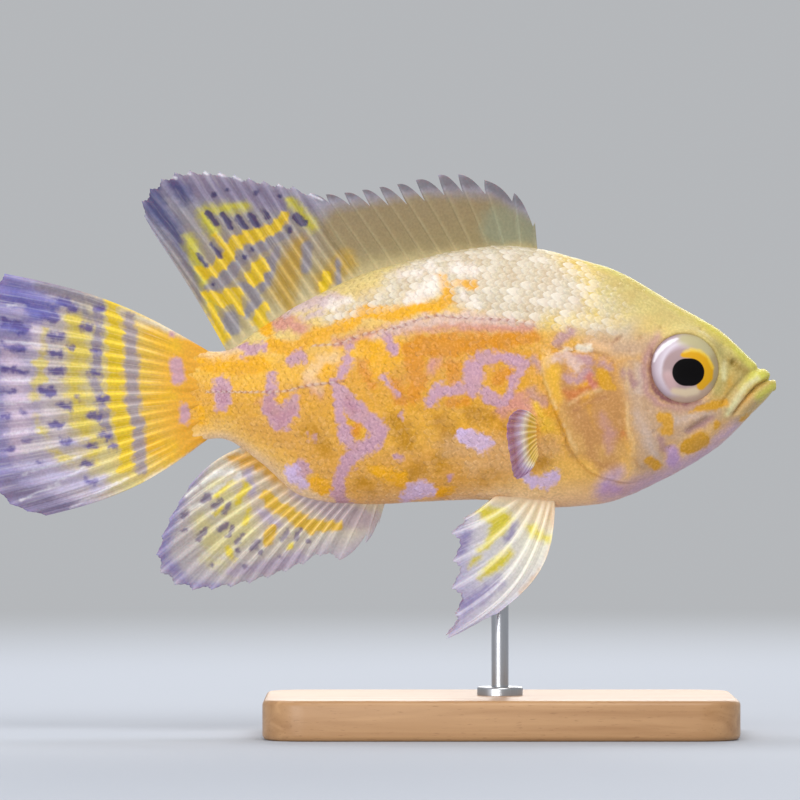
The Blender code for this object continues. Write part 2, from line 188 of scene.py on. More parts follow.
def meshPiece(name, points, faces, material, cornerUv, fields):
    # points are in millimetres, and each field is one value for each point
    mesh = bpy.data.meshes.new(name)
    mesh.from_pydata((np.array(points) * mm).tolist(), [], [list(face) for face in faces])
    for field, values in fields.items():
        attribute = mesh.attributes.new(field, "FLOAT", "POINT")
        attribute.data.foreach_set("value", np.ravel(values).astype(np.float32))
    mesh.uv_layers.new(name="OFBake").data.foreach_set("uv", np.ravel(cornerUv).astype(np.float32))
    mesh.polygons.foreach_set("use_smooth", [True] * len(mesh.polygons))
    mesh.materials.append(material)
    mesh.update()
    piece = bpy.data.objects.new(name, mesh)
    bpy.context.scene.collection.objects.link(piece)
    return piece


def finishPiece(piece, slot, *nodes):
    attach(piece, "root")
    if nodes:
        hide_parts(*nodes)


# The body's form: x, height of the back, height of the belly, half width, height of the widest part
bodyForm = {
    "stations": (
        (-44.6, 54.7, 40.3, 0.45, 47.6), (-38.6, 53.9, 41.3, 2.1, 47.6), (-33.4, 57.2, 37.9, 3.2, 47.8),
        (-28.0, 60.5, 33.4, 4.3, 48.0), (-19.6, 64.5, 32.2, 5.9, 48.6), (-11.2, 66.8, 32.5, 7.1, 49.0),
        (-2.0, 68.5, 32.8, 7.8, 49.0), (5.3, 68.2, 31.8, 8.1, 48.4), (11.2, 66.6, 32.0, 8.2, 47.6),
        (16.8, 64.8, 33.0, 8.0, 46.8), (25.2, 59.9, 37.0, 6.9, 47.4), (30.8, 56.6, 40.6, 5.2, 48.0),
        (35.0, 52.8, 44.7, 3.4, 48.6), (37.4, 50.5, 47.2, 2.1, 48.9), (38.3, 49.5, 48.3, 0.9, 48.9)),
    "backFullness": 2.0, "bellyFullness": 2.25, "sideFullness": 2.1, "thinnest": 0.2,
    "coatDepth": 0.14,  # the skin lies this far inside, under the scales
    "faceFill": 0.8, "faceFrom": (6, 12),  # the face has no scales, so its skin comes up again by this share
    "reliefFrom": (2, 6),  # the head's relief fades in over these x
    "fineLumps": (0.9, 2), "fineLumpHeight": 0.035, "broadLumps": (2.4, 5), "broadLumpHeight": 0.05,
    "tailRows": 128, "headRows": 196, "around": 300, "ringSamples": 1201,
    "headStart": 4.0, "headPacking": 1.25,
    "noseTip": (38.42, 0.0, 48.9), "tailTip": (-44.75, 0.0, 47.5), "uvMargin": 0.01,
    "sidesMeet": 0.6,  # the two sides' markings pass into each other this far from the middle
}


def backAt(x):
    return easedColumn(bodyForm["stations"], 1, x)


def bellyAt(x):
    return easedColumn(bodyForm["stations"], 2, x)


def bodySurface(x, angle, inset):
    # A point of the body: angle 0 is the back, a quarter turn the left side, a half turn the belly
    rows = bodyForm["stations"]
    back, belly = backAt(x) - inset, bellyAt(x) + inset
    halfWidth = np.maximum(easedColumn(rows, 3, x) - inset, bodyForm["thinnest"])
    widest = easedColumn(rows, 4, x)
    up = np.cos(angle)
    reach = np.where(up >= 0, back - widest, widest - belly)
    fullness = np.where(up >= 0, bodyForm["backFullness"], bodyForm["bellyFullness"])
    z = widest + reach * signedPower(up, 2 / fullness)
    y = halfWidth * signedPower(np.sin(angle), 2 / bodyForm["sideFullness"])
    return np.stack(np.broadcast_arrays(x, y, z), axis=-1)


def girthAt(x, angles, inset):
    # The way round the body's section at x, measured along the skin to each angle
    ring = bodySurface(np.full(angles.shape, x), angles, inset)
    return np.concatenate([[0], np.cumsum(np.linalg.norm(np.diff(ring, axis=0), axis=1))])


def faceFill(x):
    return bodyForm["coatDepth"] * bodyForm["faceFill"] * smoothStep(*bodyForm["faceFrom"], x)


# Head relief: lines and spots taken from the photo, with depths and widths in millimetres
headForm = {
    "mouthLine": fromPhoto([(795, 376), (779, 376.5), (767, 379.5), (755, 386.5), (745, 397), (737, 407),
                            (730, 417)]),
    "mouthDepth": 0.5, "mouthWidth": 0.26, "mouthEnd": 0.1, "mouthFrom": (27, 31),
    "lips": ({"offset": 0.82, "width": 0.8, "height": 0.34}, {"offset": -0.88, "width": 0.8, "height": 0.30}),
    "lipGrooveOffset": 2.05, "lipGrooveDepth": 0.26, "lipGrooveWidth": 0.35,
    "folds": (  # line in photo pixels, depth, width; a negative depth stands proud
        ([(683, 434), (697, 426), (709, 417)], 0.42, 0.55),
        ([(684, 424), (697, 417), (706, 413)], -0.18, 0.5),
        ([(762, 396), (748, 410), (734, 424)], 0.14, 0.5),
        ([(728, 424), (712, 440), (694, 455)], 0.12, 0.6),
        ([(603, 342), (611, 343), (618, 341)], 0.16, 0.3),
        ([(566, 411), (585, 401), (606, 396)], 0.13, 0.4),
        ([(566, 419), (588, 408), (610, 402)], 0.10, 0.4),
        ([(640, 360), (636, 390), (642, 425), (654, 452)], -0.08, 1.1),
        ([(626, 362), (628, 400), (628, 424), (632, 440), (633, 455)], -0.12, 0.3),
        ([(622, 484), (645, 480), (668, 470)], 0.16, 0.35),
        ([(618, 491), (642, 486), (664, 477)], 0.12, 0.3),
        ([(725, 362), (724, 375), (719, 388)], -0.10, 0.5),
        ([(660, 411), (684, 413), (704, 404)], 0.10, 0.5)),
    "foldEnds": 0.2, "foldLeast": 0.25,
    "gillRim": {
        "line": throughPoints(fromPhoto([(566, 349), (545, 357), (540, 370), (545, 390), (553, 410), (562, 430),
                                         (568, 448), (578, 461), (592, 473), (614, 480), (640, 484)]), 4),
        "ends": (0.06, 0.1), "soft": (-0.12, 0.16), "height": 0.44, "reach": 3.2,
        "groove": 0.2, "grooveReach": 0.7},
    "gillTop": fromPhoto([(566, 349), (590, 353), (612, 358)]), "gillTopDepth": 0.34, "gillTopWidth": 0.35,
    "gillTopEnds": 0.1,
    "cheekEdge": {
        "line": throughPoints(fromPhoto([(612, 358), (622, 378), (627, 400), (629, 430), (632, 455),
                                         (640, 470)]), 3),
        "ends": (0.1, 0.1), "soft": (-0.15, 0.15), "height": 0.26, "reach": 1.8,
        "groove": 0.12, "grooveReach": 0.8},
    "pores": ((620, 338), (640, 338), (661, 327), (629, 352), (646, 410), (652, 432), (668, 447), (700, 330),
              (722, 345)),
    "poreRadius": 0.24, "poreDepth": 0.28,
    "nostril": (733, 363), "nostrilRadius": 0.42, "nostrilDepth": 0.7, "nostrilLength": 0.8,
    "nostrilRimRadius": 0.75, "nostrilRimWidth": 0.3, "nostrilRimHeight": 0.12,
}

eyeForm = {
    "centre": (25.4, 4.7, 51.2), "radius": 5.3, "halfDepth": 2.9, "forwardTurn": math.radians(12),
    "upwardTilt": math.radians(6), "ringRadius": 4.86, "socketRim": 6.5, "rimHeight": 0.16, "rimOffset": 0.45,
    "rimWidth": 0.4, "skinOverBall": 0.1, "skinSlope": 3.0, "skinDeepest": 0.4, "seatDepth": 1.5,
    "segments": 96, "rings": 64,
}


def eyeCentre(side):
    return np.array([eyeForm["centre"][0], side * eyeForm["centre"][1], eyeForm["centre"][2]])


def eyeAxes(side):
    # The way an eye looks, and two ways across it
    turn, tilt = eyeForm["forwardTurn"], eyeForm["upwardTilt"]
    out = Vector((math.sin(turn) * math.cos(tilt), side * math.cos(turn) * math.cos(tilt), math.sin(tilt)))
    across = Vector((math.cos(turn), -side * math.sin(turn), 0))
    up = across.cross(out) * side
    return np.array(out), np.array(across), np.array(up)


def raisedEdge(edge, x, z):
    # An edge that stands proud on its left side, falls off with distance, and has a groove on its right
    away, share = alongLine(edge["line"], x, z)
    raised = smoothStep(*edge["soft"], away)
    step = edge["height"] * raised * np.exp(-np.maximum(away, 0) / edge["reach"])
    step -= edge["groove"] * (1 - raised) * np.exp(np.minimum(away, 0) / edge["grooveReach"])
    return tapered(share, *edge["ends"]) * step


def headRelief(x, z):
    # How far the skin stands proud of the smooth body, in millimetres
    relief = np.zeros(np.shape(x))
    form = headForm
    away, along = alongLine(form["mouthLine"], x, z)
    away = -away  # the line runs back from the tip, so its left is below
    fade = smoothStep(1, 1 - form["mouthEnd"], along) * smoothStep(*form["mouthFrom"], x)
    for lip in form["lips"]:
        relief += fade * lip["height"] * np.sqrt(
            np.clip(1 - ((away - lip["offset"]) / lip["width"]) ** 2, 0, 1))
    relief -= fade * form["mouthDepth"] * bell(away, form["mouthWidth"])
    relief -= fade * form["lipGrooveDepth"] * bell(away - form["lipGrooveOffset"], form["lipGrooveWidth"])
    for points, depth, width in form["folds"]:
        fold, share = alongLine(fromPhoto(points), x, z)
        taper = tapered(share, form["foldEnds"], form["foldEnds"])
        relief -= depth * bell(fold, width) * (form["foldLeast"] + (1 - form["foldLeast"]) * taper)
    relief += raisedEdge(form["gillRim"], x, z) + raisedEdge(form["cheekEdge"], x, z)
    top, share = alongLine(form["gillTop"], x, z)
    topEnds = tapered(share, form["gillTopEnds"], form["gillTopEnds"])
    relief -= form["gillTopDepth"] * bell(top, form["gillTopWidth"]) * topEnds
    for pore in form["pores"]:
        px, pz = fromPhoto(pore)
        relief -= form["poreDepth"] * bell(np.hypot(x - px, z - pz), form["poreRadius"])
    px, pz = fromPhoto(form["nostril"])
    fromNostril = np.hypot((x - px) * form["nostrilLength"], z - pz)
    relief -= form["nostrilDepth"] * bell(fromNostril, form["nostrilRadius"])
    fromRim = np.hypot(x - px, z - pz) - form["nostrilRimRadius"]
    relief += form["nostrilRimHeight"] * bell(fromRim, form["nostrilRimWidth"])
    return relief


pectoralRoot = {"place": (4.9, 7.2, 41.9), "height": 0.55, "halfWidth": 1.3, "halfHeight": 3.0}


def rootRelief(x, z):
    # The fleshy root of a pectoral fin
    px, _, pz = pectoralRoot["place"]
    spread = np.hypot((x - px) / pectoralRoot["halfWidth"], (z - pz) / pectoralRoot["halfHeight"])
    return pectoralRoot["height"] * bell(spread, 1.0)


def mark(soft, wobble, colour, strokes, share=0.94, rayPull=0.0):
    # One marking: how soft and wavy its edge is in millimetres, its colour, its strokes, how fully it covers,
    # and on a fin how it gathers on the rays
    return {"soft": soft, "wobble": wobble, "colour": colour, "strokes": strokes, "share": share,
            "rayPull": rayPull}


# Markings: each layer lies over the ones before it, as strokes of (x, y, radius) in the photo's pixels; a few
# layers are painted shade in creases and grooves or painted highlight on ridges, and some low layers are
# lightened as painted light on the shaded underside
markings = {
    "broad": mark(1.5, 0.5, "#D3C6AC", (  # cream back
        ((395, 285, 12), (440, 270, 24), (480, 276, 36), (520, 284, 40), (560, 290, 36), (590, 305, 28),
         (622, 322, 20)),
        ((330, 318, 6), (360, 306, 8), (395, 296, 10)))),
    "napeYellow": mark(1.6, 0.5, "#EBCB66", (
        ((562, 254, 8), (588, 274, 10), (594, 300, 8)), ((548, 322, 6), (575, 320, 7), (596, 316, 6)),
        ((640, 334, 4), (655, 322, 5)), ((612, 322, 3), (626, 316, 4)))),
    "backOlive": mark(0.9, 0.6, "#C6B47E", (
        ((300, 296, 3), (340, 274, 5), (380, 260, 5), (430, 249, 4), (480, 245, 3)),)),
    "headTop": mark(2.6, 0.4, "#D2C07A", (
        ((618, 288, 22), (660, 306, 26), (700, 330, 24), (735, 355, 20), (765, 372, 12)),)),
    # Olive-yellow along the head's top profile, toned down as painted shade at the silhouette edge
    "profile": mark(1.0, 0.3, "#D4C83E", (
        ((588, 256, 5), (630, 272, 7), (668, 292, 8), (704, 316, 8), (736, 342, 8), (760, 362, 8)),)),
    "cheek": mark(1.8, 0.5, "#C2A286", (
        ((634, 372, 16), (644, 410, 20), (652, 440, 20), (648, 472, 14)),
        ((650, 346, 14), (620, 348, 12), (592, 342, 8)), ((672, 424, 24), (694, 410, 22), (716, 414, 14)),
        ((662, 388, 14), (684, 394, 18), (706, 388, 12)))),
    "cheekPale": mark(0.8, 0.5, "#C8B0A0", (
        ((638, 414, 4), (648, 436, 5), (656, 458, 5)), ((676, 420, 5), (690, 417, 4), (708, 414, 3)),
        ((640, 370, 4), (640, 390, 4)))),
    "snoutOlive": mark(1.2, 0.4, "#B4A664", (
        ((716, 350, 9), (724, 368, 10), (718, 390, 9)), ((745, 368, 10), (738, 388, 8), (726, 402, 6)))),
    "jaw": mark(1.0, 0.2, "#C6AA76", (
        ((738, 398, 6), (728, 414, 7)), ((768, 390, 8), (754, 404, 9), (738, 416, 9)))),
    "lipTip": mark(0.8, 0.2, "#D2CE58", (
        ((770, 374, 7), (754, 376, 6), (744, 388, 3)), ((774, 386, 5), (760, 396, 4)),
        ((742, 350, 7), (752, 362, 6)))),
    # Pale bands on the upper lip and on the ridge before the eye: partly their own cream colour, partly painted
    # highlight on the ridges
    "lipPale": mark(0.5, 0.2, "#DED8A4", (
        ((757, 378, 2.4), (746, 387, 3), (736, 401, 3), (728, 413, 2)), ((725, 362, 1.5), (724, 378, 2)))),
    "nostrilTan": mark(0.7, 0.3, "#A48C48", (
        ((730, 360, 4), (738, 366, 5), (745, 371, 3)), ((764, 383, 1.5), (752, 392, 2)))),
    # Mauve of the throat and chin, lightened as painted light where the underside lies in shade
    "chinMauve": mark(1.2, 0.4, "#C6A8C0", (
        ((736, 426, 5), (718, 442, 6), (696, 460, 8), (664, 478, 8), (630, 490, 9), (604, 492, 10)),
        ((616, 472, 8), (606, 486, 8)))),
    # Mauve in the cheek's folds; under the eye it darkens the groove as painted shade
    "cheekFold": mark(0.5, 0.3, "#AC8684", (
        ((688, 431, 3), (702, 424, 3.5), (711, 418, 2)), ((664, 448, 4), (660, 438, 3)),
        ((626, 372, 5), (634, 384, 4)))),
    "lilac": mark(0.5, 0.3, "#BE9CC8", (((672, 452, 6), (673, 460, 8)), ((606, 488, 5), (618, 490, 4)))),
    "eyeHalo": mark(0.7, 0.3, "#B88C88", (
        ((658, 336, 2), (648, 352, 3), (644, 372, 3.5), (647, 392, 3.5), (658, 404, 3), (680, 408, 2.5),
         (700, 405, 1.5)),)),
    # Painted shade in the soft crease round the eye's left and lower edge
    "eyeCreaseShade": mark(0.35, 0.2, "#7E4E54", (
        ((652, 350, 0.8), (650, 368, 1.8), (652, 382, 2.6), (656, 390, 3.2), (663, 397, 3), (672, 402, 2.4),
         (684, 404.5, 2), (700, 401, 0.8)),)),
    "gillCover": mark(1.0, 0.6, "#BC8852", (
        ((556, 362, 8), (562, 385, 12), (574, 410, 14), (588, 440, 16), (606, 460, 12)),
        ((585, 366, 12), (604, 372, 9), (606, 400, 17), (608, 430, 18), (608, 452, 14)))),
    "gillTan": mark(0.8, 0.8, "#D0A05C", (
        ((562, 408, 3), (569, 430, 6), (578, 448, 8)), ((604, 452, 8), (620, 450, 6)))),
    "gillMauve": mark(0.6, 0.7, "#BC9296", (
        ((576, 357, 5), (588, 361, 6)), ((568, 377, 4), (577, 380, 6), (586, 373, 5)),
        ((571, 331, 4), (560, 340, 6)), ((546, 372, 2), (534, 360, 4)), ((604, 362, 4), (608, 366, 3)))),
    "gillFaint": mark(0.8, 0.7, "#C29082", (
        ((603, 418, 4), (609, 434, 5), (610, 450, 4)), ((532, 392, 5), (544, 402, 5)))),
    "gillRust": mark(0.7, 0.7, "#C8743A", (
        ((563, 395, 4), (578, 395, 5), (588, 389, 4), (597, 383, 3)), ((623, 434, 2),))),
    "gillRed": mark(0.5, 0.6, "#C87468", (((589, 378, 4), (594, 387, 3)),)),
    "gillYellow": mark(0.8, 0.5, "#EAB438", (
        ((546, 357, 6), (551, 368, 9), (552, 384, 8), (558, 398, 5)), ((546, 425, 4), (554, 432, 5)))),
    # Pale lines along the raised gill rim, the cheek's edge and above the gill fold: partly the rims' own pale
    # colour, partly painted highlight on the ridges
    "paleRidgesAndHighlights": mark(0.4, 0.4, "#EECF94", (
        ((543, 356, 1.4), (541.5, 370, 1.4), (546, 388, 1), (556, 408, 1.2)),
        ((564, 424, 1.2), (570, 438, 2), (576, 450, 1.5)), ((569, 403, 1), (588, 393, 2.2), (604, 388, 1.4)),
        ((627, 402, 0.8), (628, 424, 1.3), (632, 440, 1.6), (633, 455, 1)),
        ((626, 364, 0.8), (628, 392, 1))), share=0.5),
    "peach": mark(0.8, 0.5, "#E8BC8C", (((590, 343, 4), (606, 349, 4)),)),
    # Painted shade in the gill cover's grooves, the brow groove and a pore, plus a dark red spot of the skin's
    # own colour
    "grooveShadeAndSpot": mark(0.4, 0.4, "#9C6444", (
        ((590, 353, 0.8), (604, 355, 1.2), (612, 361, 1)),
        ((574, 411, 0.6), (590, 403, 1.3), (606, 397, 0.8)), ((560, 346, 2.2),),
        ((612, 343, 0.6), (620, 338, 1.6)), ((640, 338, 1.2),)), share=0.6),
    # Painted highlight along the gill cover's top edge
    "gillTopHighlight": mark(0.4, 0.5, "#F2EEDC", (
        ((562, 351, 1.2), (572, 349, 2)), ((578, 347, 3), (589, 348, 3))), share=0.8),
    "rearWarm": mark(2.2, 0.8, "#F4B832", (
        ((195, 352, 10), (210, 368, 20), (250, 372, 22), (290, 372, 16), (320, 368, 12)),
        ((330, 356, 8), (380, 350, 12)))),
    "lowTan": mark(2.4, 0.8, "#DCA044", (
        ((250, 425, 8), (300, 440, 22), (360, 480, 26), (440, 470, 30), (520, 450, 26)),)),
    "mustard": mark(0.9, 1.0, "#C48A14", (
        ((395, 420, 8), (408, 440, 10)), ((440, 420, 8), (452, 440, 8), (440, 460, 8)),
        ((482, 476, 5), (500, 472, 4)), ((420, 470, 7), (398, 478, 6)), ((512, 440, 6), (505, 425, 6)),
        ((360, 480, 6), (372, 492, 5)), ((310, 430, 8), (326, 450, 8)), ((470, 412, 7), (490, 418, 6)),
        ((536, 464, 5), (546, 462, 4)))),
    "fleshLow": mark(1.4, 0.8, "#DDB07A", (
        ((450, 448, 9), (500, 450, 12), (552, 447, 9)), ((472, 464, 9), (508, 464, 11)),
        ((368, 497, 4), (392, 500, 5))), share=0.65),
    "pink": mark(0.8, 0.8, "#D29082", (
        ((274, 324, 7), (290, 322, 8), (303, 330, 5)),
        ((335, 342, 3), (400, 329, 4), (450, 325, 5), (530, 328, 6)), ((436, 360, 5), (430, 372, 4)),
        ((500, 412, 5), (520, 402, 10), (528, 418, 8)), ((395, 388, 4), (402, 398, 3)), ((262, 404, 3),),
        ((312, 384, 5), (318, 392, 4)))),
    "greyPink": mark(0.7, 0.8, "#D8C0C2", (
        ((284, 312, 5), (302, 304, 8), (322, 301, 7), (338, 298, 5)), ((304, 318, 3), (322, 312, 4)),
        ((222, 350, 3), (242, 349, 4)))),
    "gold": mark(0.4, 0.75, "#F0AC06", (
        ((270, 344, 7), (290, 350, 8), (312, 338, 7), (345, 325, 7), (365, 312, 8), (400, 314, 7),
         (420, 306, 7), (435, 308, 7), (447, 303, 6), (447, 288, 5), (440, 277, 4)),
        ((455, 284, 3.5), (474, 286, 4)), ((256, 302, 4), (258, 316, 7), (268, 332, 6)),
        ((205, 362, 9), (235, 364, 11), (262, 366, 8)), ((196, 405, 5), (202, 420, 5)), ((325, 369, 9.5),),
        ((283, 400, 5),), ((366, 346, 9), (378, 357, 13), (386, 370, 8), (368, 376, 6)),
        ((400, 346, 6), (398, 360, 5)), ((375, 470, 6), (400, 478, 9)), ((435, 492, 5), (452, 490, 5)),
        ((316, 484, 8), (325, 488, 9)))),
    "paleBand": mark(0.7, 0.7, "#DFC0B4", (
        ((376, 337, 3), (398, 328, 4.5), (430, 320, 5), (476, 318, 5.5), (512, 321, 4)),
        ((554, 360, 4), (568, 356, 6), (576, 366, 5)))),
    "palePeach": mark(0.8, 0.8, "#EFC894", (
        ((318, 388, 4), (309, 376, 6), (322, 360, 5), (336, 356, 5)),
        ((203, 352, 5), (222, 354, 5), (242, 352, 4)), ((548, 352, 3), (549, 362, 4))), share=0.8),
    "orange": mark(0.5, 0.85, "#DA8C12", (
        ((414, 348, 12), (432, 345, 11), (450, 346, 11), (475, 343, 10), (505, 340, 8), (536, 338, 5)),
        ((415, 362, 11), (418, 380, 10), (412, 398, 8)), ((396, 384, 8), (402, 402, 6)),
        ((452, 366, 8), (456, 382, 6)), ((362, 366, 5), (372, 384, 4)), ((498, 378, 7), (507, 374, 6)),
        ((450, 403, 5), (468, 401, 5)), ((355, 429, 7),))),
    "lavender": mark(0.42, 0.9, "#C498AE", (
        ((221, 385, 8), (222, 401, 9)),
        ((272, 376, 5), (270, 398, 5), (272, 411, 9), (281, 420, 10), (291, 412, 8), (296, 396, 4)),
        ((292, 362, 4), (300, 352, 4), (306, 360, 3)),
        ((334, 383, 4), (345, 398, 8), (356, 410, 9), (370, 420, 9), (380, 431, 9), (372, 443, 8),
         (358, 452, 8), (346, 464, 7), (338, 478, 5), (338, 494, 7), (347, 510, 8)),
        ((338, 392, 5), (341, 415, 5), (345, 436, 6), (352, 446, 6)), ((302, 469, 9),),
        ((262, 346, 5), (246, 350, 6)), ((388, 338, 6), (392, 350, 6)),
        ((348, 345, 4), (347, 362, 5), (342, 374, 4)), ((384, 378, 3), (396, 392, 3)),
        ((482, 358, 7), (500, 358, 5), (522, 362, 8)), ((474, 366, 9), (473, 386, 10)),
        ((462, 389, 6), (440, 391, 7), (430, 402, 6)),
        ((486, 394, 6), (498, 402, 7), (508, 398, 5), (514, 380, 6), (520, 368, 6)), ((403, 417, 3),),
        ((399, 457, 4),), ((312, 438, 4),), ((450, 477, 2.5),), ((177, 371, 6),), ((184, 413, 5),))),
    "rose": mark(0.5, 0.9, "#B67C8C", (
        ((270, 392, 2), (272, 410, 6), (281, 420, 7), (291, 411, 5)), ((221, 390, 4), (223, 402, 4)),
        ((346, 399, 4), (354, 410, 4))), share=0.6),
    # Pale lavender low on the flank and belly, lightened as painted light on the shaded underside
    "lavenderLow": mark(0.42, 0.9, "#D6BEE6", (
        ((464, 436, 7), (486, 444, 8)), ((404, 499, 5), (415, 489, 8), (428, 490, 8)),
        ((522, 470, 6), (532, 481, 7), (545, 483, 6), (555, 476, 5)), ((292, 472, 7), (302, 485, 6)),
        ((316, 508, 5), (340, 512, 7)))),
    "lateral": mark(0.16, 0.15, "#9C5A60", (
        ((536, 326, 1.1), (520, 322, 1.1), (500, 320, 1.1), (460, 318, 1.1), (435, 315, 1.1), (415, 321, 1.1),
         (400, 327, 1.1), (360, 335, 1.1), (340, 344, 1), (312, 346, 0.8)),
        ((345, 381, 0.9), (310, 385, 1), (287, 391, 1), (262, 392, 1), (205, 392, 0.7))), share=0.6),
    "whitish": mark(0.6, 0.8, "#F4E8DC", (
        ((408, 300, 5), (428, 290, 8), (434, 282, 6)), ((452, 268, 5), (474, 272, 6)),
        ((400, 276, 4), (432, 266, 5)), ((462, 296, 4), (478, 306, 3)), ((332, 306, 5), (348, 300, 4)))),
    "headOrange": mark(0.28, 0.45, "#D49A1C", (
        ((689, 412, 1.5), (700, 408, 3), (714, 406, 5.5), (724, 403, 4.5)),
        ((661, 417, 5), (667, 417, 5), (669, 430, 5), (664, 430, 5)),
        ((602, 374, 6), (606, 384, 7), (614, 387, 3)), ((744, 419, 3),), ((688, 447, 8), (703, 440, 8)),
        ((717, 425, 4),), ((748, 418, 4),), ((650, 460, 5), (656, 466, 5)))),
    "pectoralRose": mark(0.6, 0.5, "#A878A0", (((526, 425, 5), (525, 455, 5)),)),
    "pectoralYellow": mark(0.5, 0.4, "#F0BE30", (((548, 425, 7),), ((535, 405, 3), (543, 418, 3)))),
    "bellyEdge": mark(1.2, 0.5, "#CFA482", (((356, 524, 4), (400, 516, 5), (470, 512, 6), (560, 516, 7)),)),
}


def strokeDistance(strokes, x, z):
    # Distance outside the nearest stroke, in millimetres; negative inside it
    best = np.full(np.shape(x), farAway)
    for stroke in strokes:
        points = fromPhoto(stroke)
        pairs = list(zip(points[:-1], points[1:])) or [(points[0], points[0])]
        for a, b in pairs:
            dx, dz = b[0] - a[0], b[1] - a[1]
            t = np.clip(((x - a[0]) * dx + (z - a[1]) * dz) / max(dx * dx + dz * dz, 1 / farAway), 0, 1)
            distance = np.hypot(x - a[0] - t * dx, z - a[1] - t * dz) - (a[2] + t * (b[2] - a[2]))
            best = np.minimum(best, distance)
    return best


# How the marks' edges wander: noise seeds for each side, sizes in millimetres, and how far a distance is kept
markForm = {
    "seeds": {-1: 3, 1: 8}, "driftSize": 1.7, "rippleSize": 0.7, "rippleShare": 0.6, "strength": 0.55,
    "leftApart": 1.3, "kept": (-3, 6), "fineStrength": 1.1,
}


def markFields(layers, points, side):
    # The left side carries the same marks with edges of its own
    form = markForm
    seed = form["seeds"][side]
    drift = [unevenness(points, form["driftSize"], seed + i) for i in (0, 1)]
    ripple = [unevenness(points, form["rippleSize"], seed + i) for i in (2, 3)]
    apart = 0 if side < 0 else form["leftApart"]
    fields = {}
    seenX, seenZ = asSeen(points)
    for name, layer in layers.items():
        reach = layer["wobble"] * form["strength"]
        x = seenX + reach * (drift[0] + form["rippleShare"] * ripple[0]) + apart * drift[1]
        z = seenZ + reach * (drift[1] + form["rippleShare"] * ripple[1]) + apart * drift[0]
        fields[name] = np.clip(strokeDistance(layer["strokes"], x, z), *form["kept"])
    return fields


def pigment(tree, stops, way, layers, grain, ray=None):
    # A ground colour that changes along its way, and the markings over it, each edge broken by fine noise;
    # on a fin some marks gather on the rays
    ramp = addNode(tree, "ShaderNodeValToRGB", links={"Fac": way})
    while len(ramp.color_ramp.elements) < len(stops):
        ramp.color_ramp.elements.new(0.5)
    for element, (where, code) in zip(ramp.color_ramp.elements, stops):
        element.position, element.color = where, srgb(code)
    colour = ramp.outputs["Color"]
    broken = addNode(tree, "ShaderNodeMath", {"operation": "MULTIPLY_ADD", 1: 2.0, 2: -1.0},
                     {0: grain}).outputs[0]
    for name, layer in layers.items():
        distance = addNode(tree, "ShaderNodeAttribute", {"attribute_name": name}).outputs["Fac"]
        strength = layer["wobble"] * markForm["fineStrength"]
        edge = addNode(tree, "ShaderNodeMath", {"operation": "MULTIPLY_ADD", 1: strength},
                       {0: broken, 2: distance}).outputs[0]
        if ray is not None:
            edge = addNode(tree, "ShaderNodeMath", {"operation": "MULTIPLY_ADD", 1: -2 * layer["rayPull"]},
                           {0: ray, 2: edge}).outputs[0]
            edge = addNode(tree, "ShaderNodeMath", {"operation": "ADD", 1: layer["rayPull"]},
                           {0: edge}).outputs[0]
        cover = addNode(tree, "ShaderNodeMapRange", {
            "interpolation_type": "SMOOTHSTEP", "From Min": layer["soft"], "From Max": -layer["soft"]},
            {"Value": edge}).outputs[0]
        share = addNode(tree, "ShaderNodeMath", {"operation": "MULTIPLY", 1: layer["share"]},
                        {0: cover}).outputs[0]
        colour = addNode(tree, "ShaderNodeMix", {"data_type": "RGBA", 7: srgb(layer["colour"])},
                         {0: share, 6: colour}).outputs[2]
    return colour


def sectionTable(xs, around, inset):
    # Each section of the body with evenly spaced points
    fine = np.linspace(0, 2 * math.pi, bodyForm["ringSamples"])
    table = np.empty((len(xs), around, 3))
    for i, x in enumerate(xs):
        way = girthAt(x, fine, inset)
        angle = np.interp(np.arange(around) / around * way[-1], way, fine)
        table[i] = bodySurface(np.full(angle.shape, x), angle, inset)
    return table


def gridNormals(grid):
    along = np.gradient(grid, axis=0)
    ring = np.roll(grid, -1, axis=1) - np.roll(grid, 1, axis=1)
    normal = np.cross(along, ring)
    return normal / np.maximum(np.linalg.norm(normal, axis=-1, keepdims=True), 1 / farAway)


def seatEyes(points):
    # The skin closes round each eye: down to the ball at the ring, below it inside the ring
    form = eyeForm
    for side in (-1, 1):
        out, across, up = eyeAxes(side)
        offset = points - eyeCentre(side)
        level = offset @ out
        radius = np.hypot(offset @ across, offset @ up)
        fromRing = radius - form["ringRadius"]
        inReach = (radius < form["socketRim"]) & (level > -form["seatDepth"])
        ringLevel = form["halfDepth"] * math.sqrt(1 - (form["ringRadius"] / form["radius"]) ** 2)
        ringLevel += form["skinOverBall"]
        rim = form["rimHeight"] * bell(fromRing - form["rimOffset"], form["rimWidth"])
        target = ringLevel + np.where(fromRing < 0, form["skinSlope"] * fromRing, rim)
        target = np.maximum(target, -form["skinDeepest"])
        weight = 1 - smoothStep(form["ringRadius"] + form["skinOverBall"], form["socketRim"], radius)
        points = points + (np.where(inReach, weight * (target - level), 0)[:, None]) * out
    return points


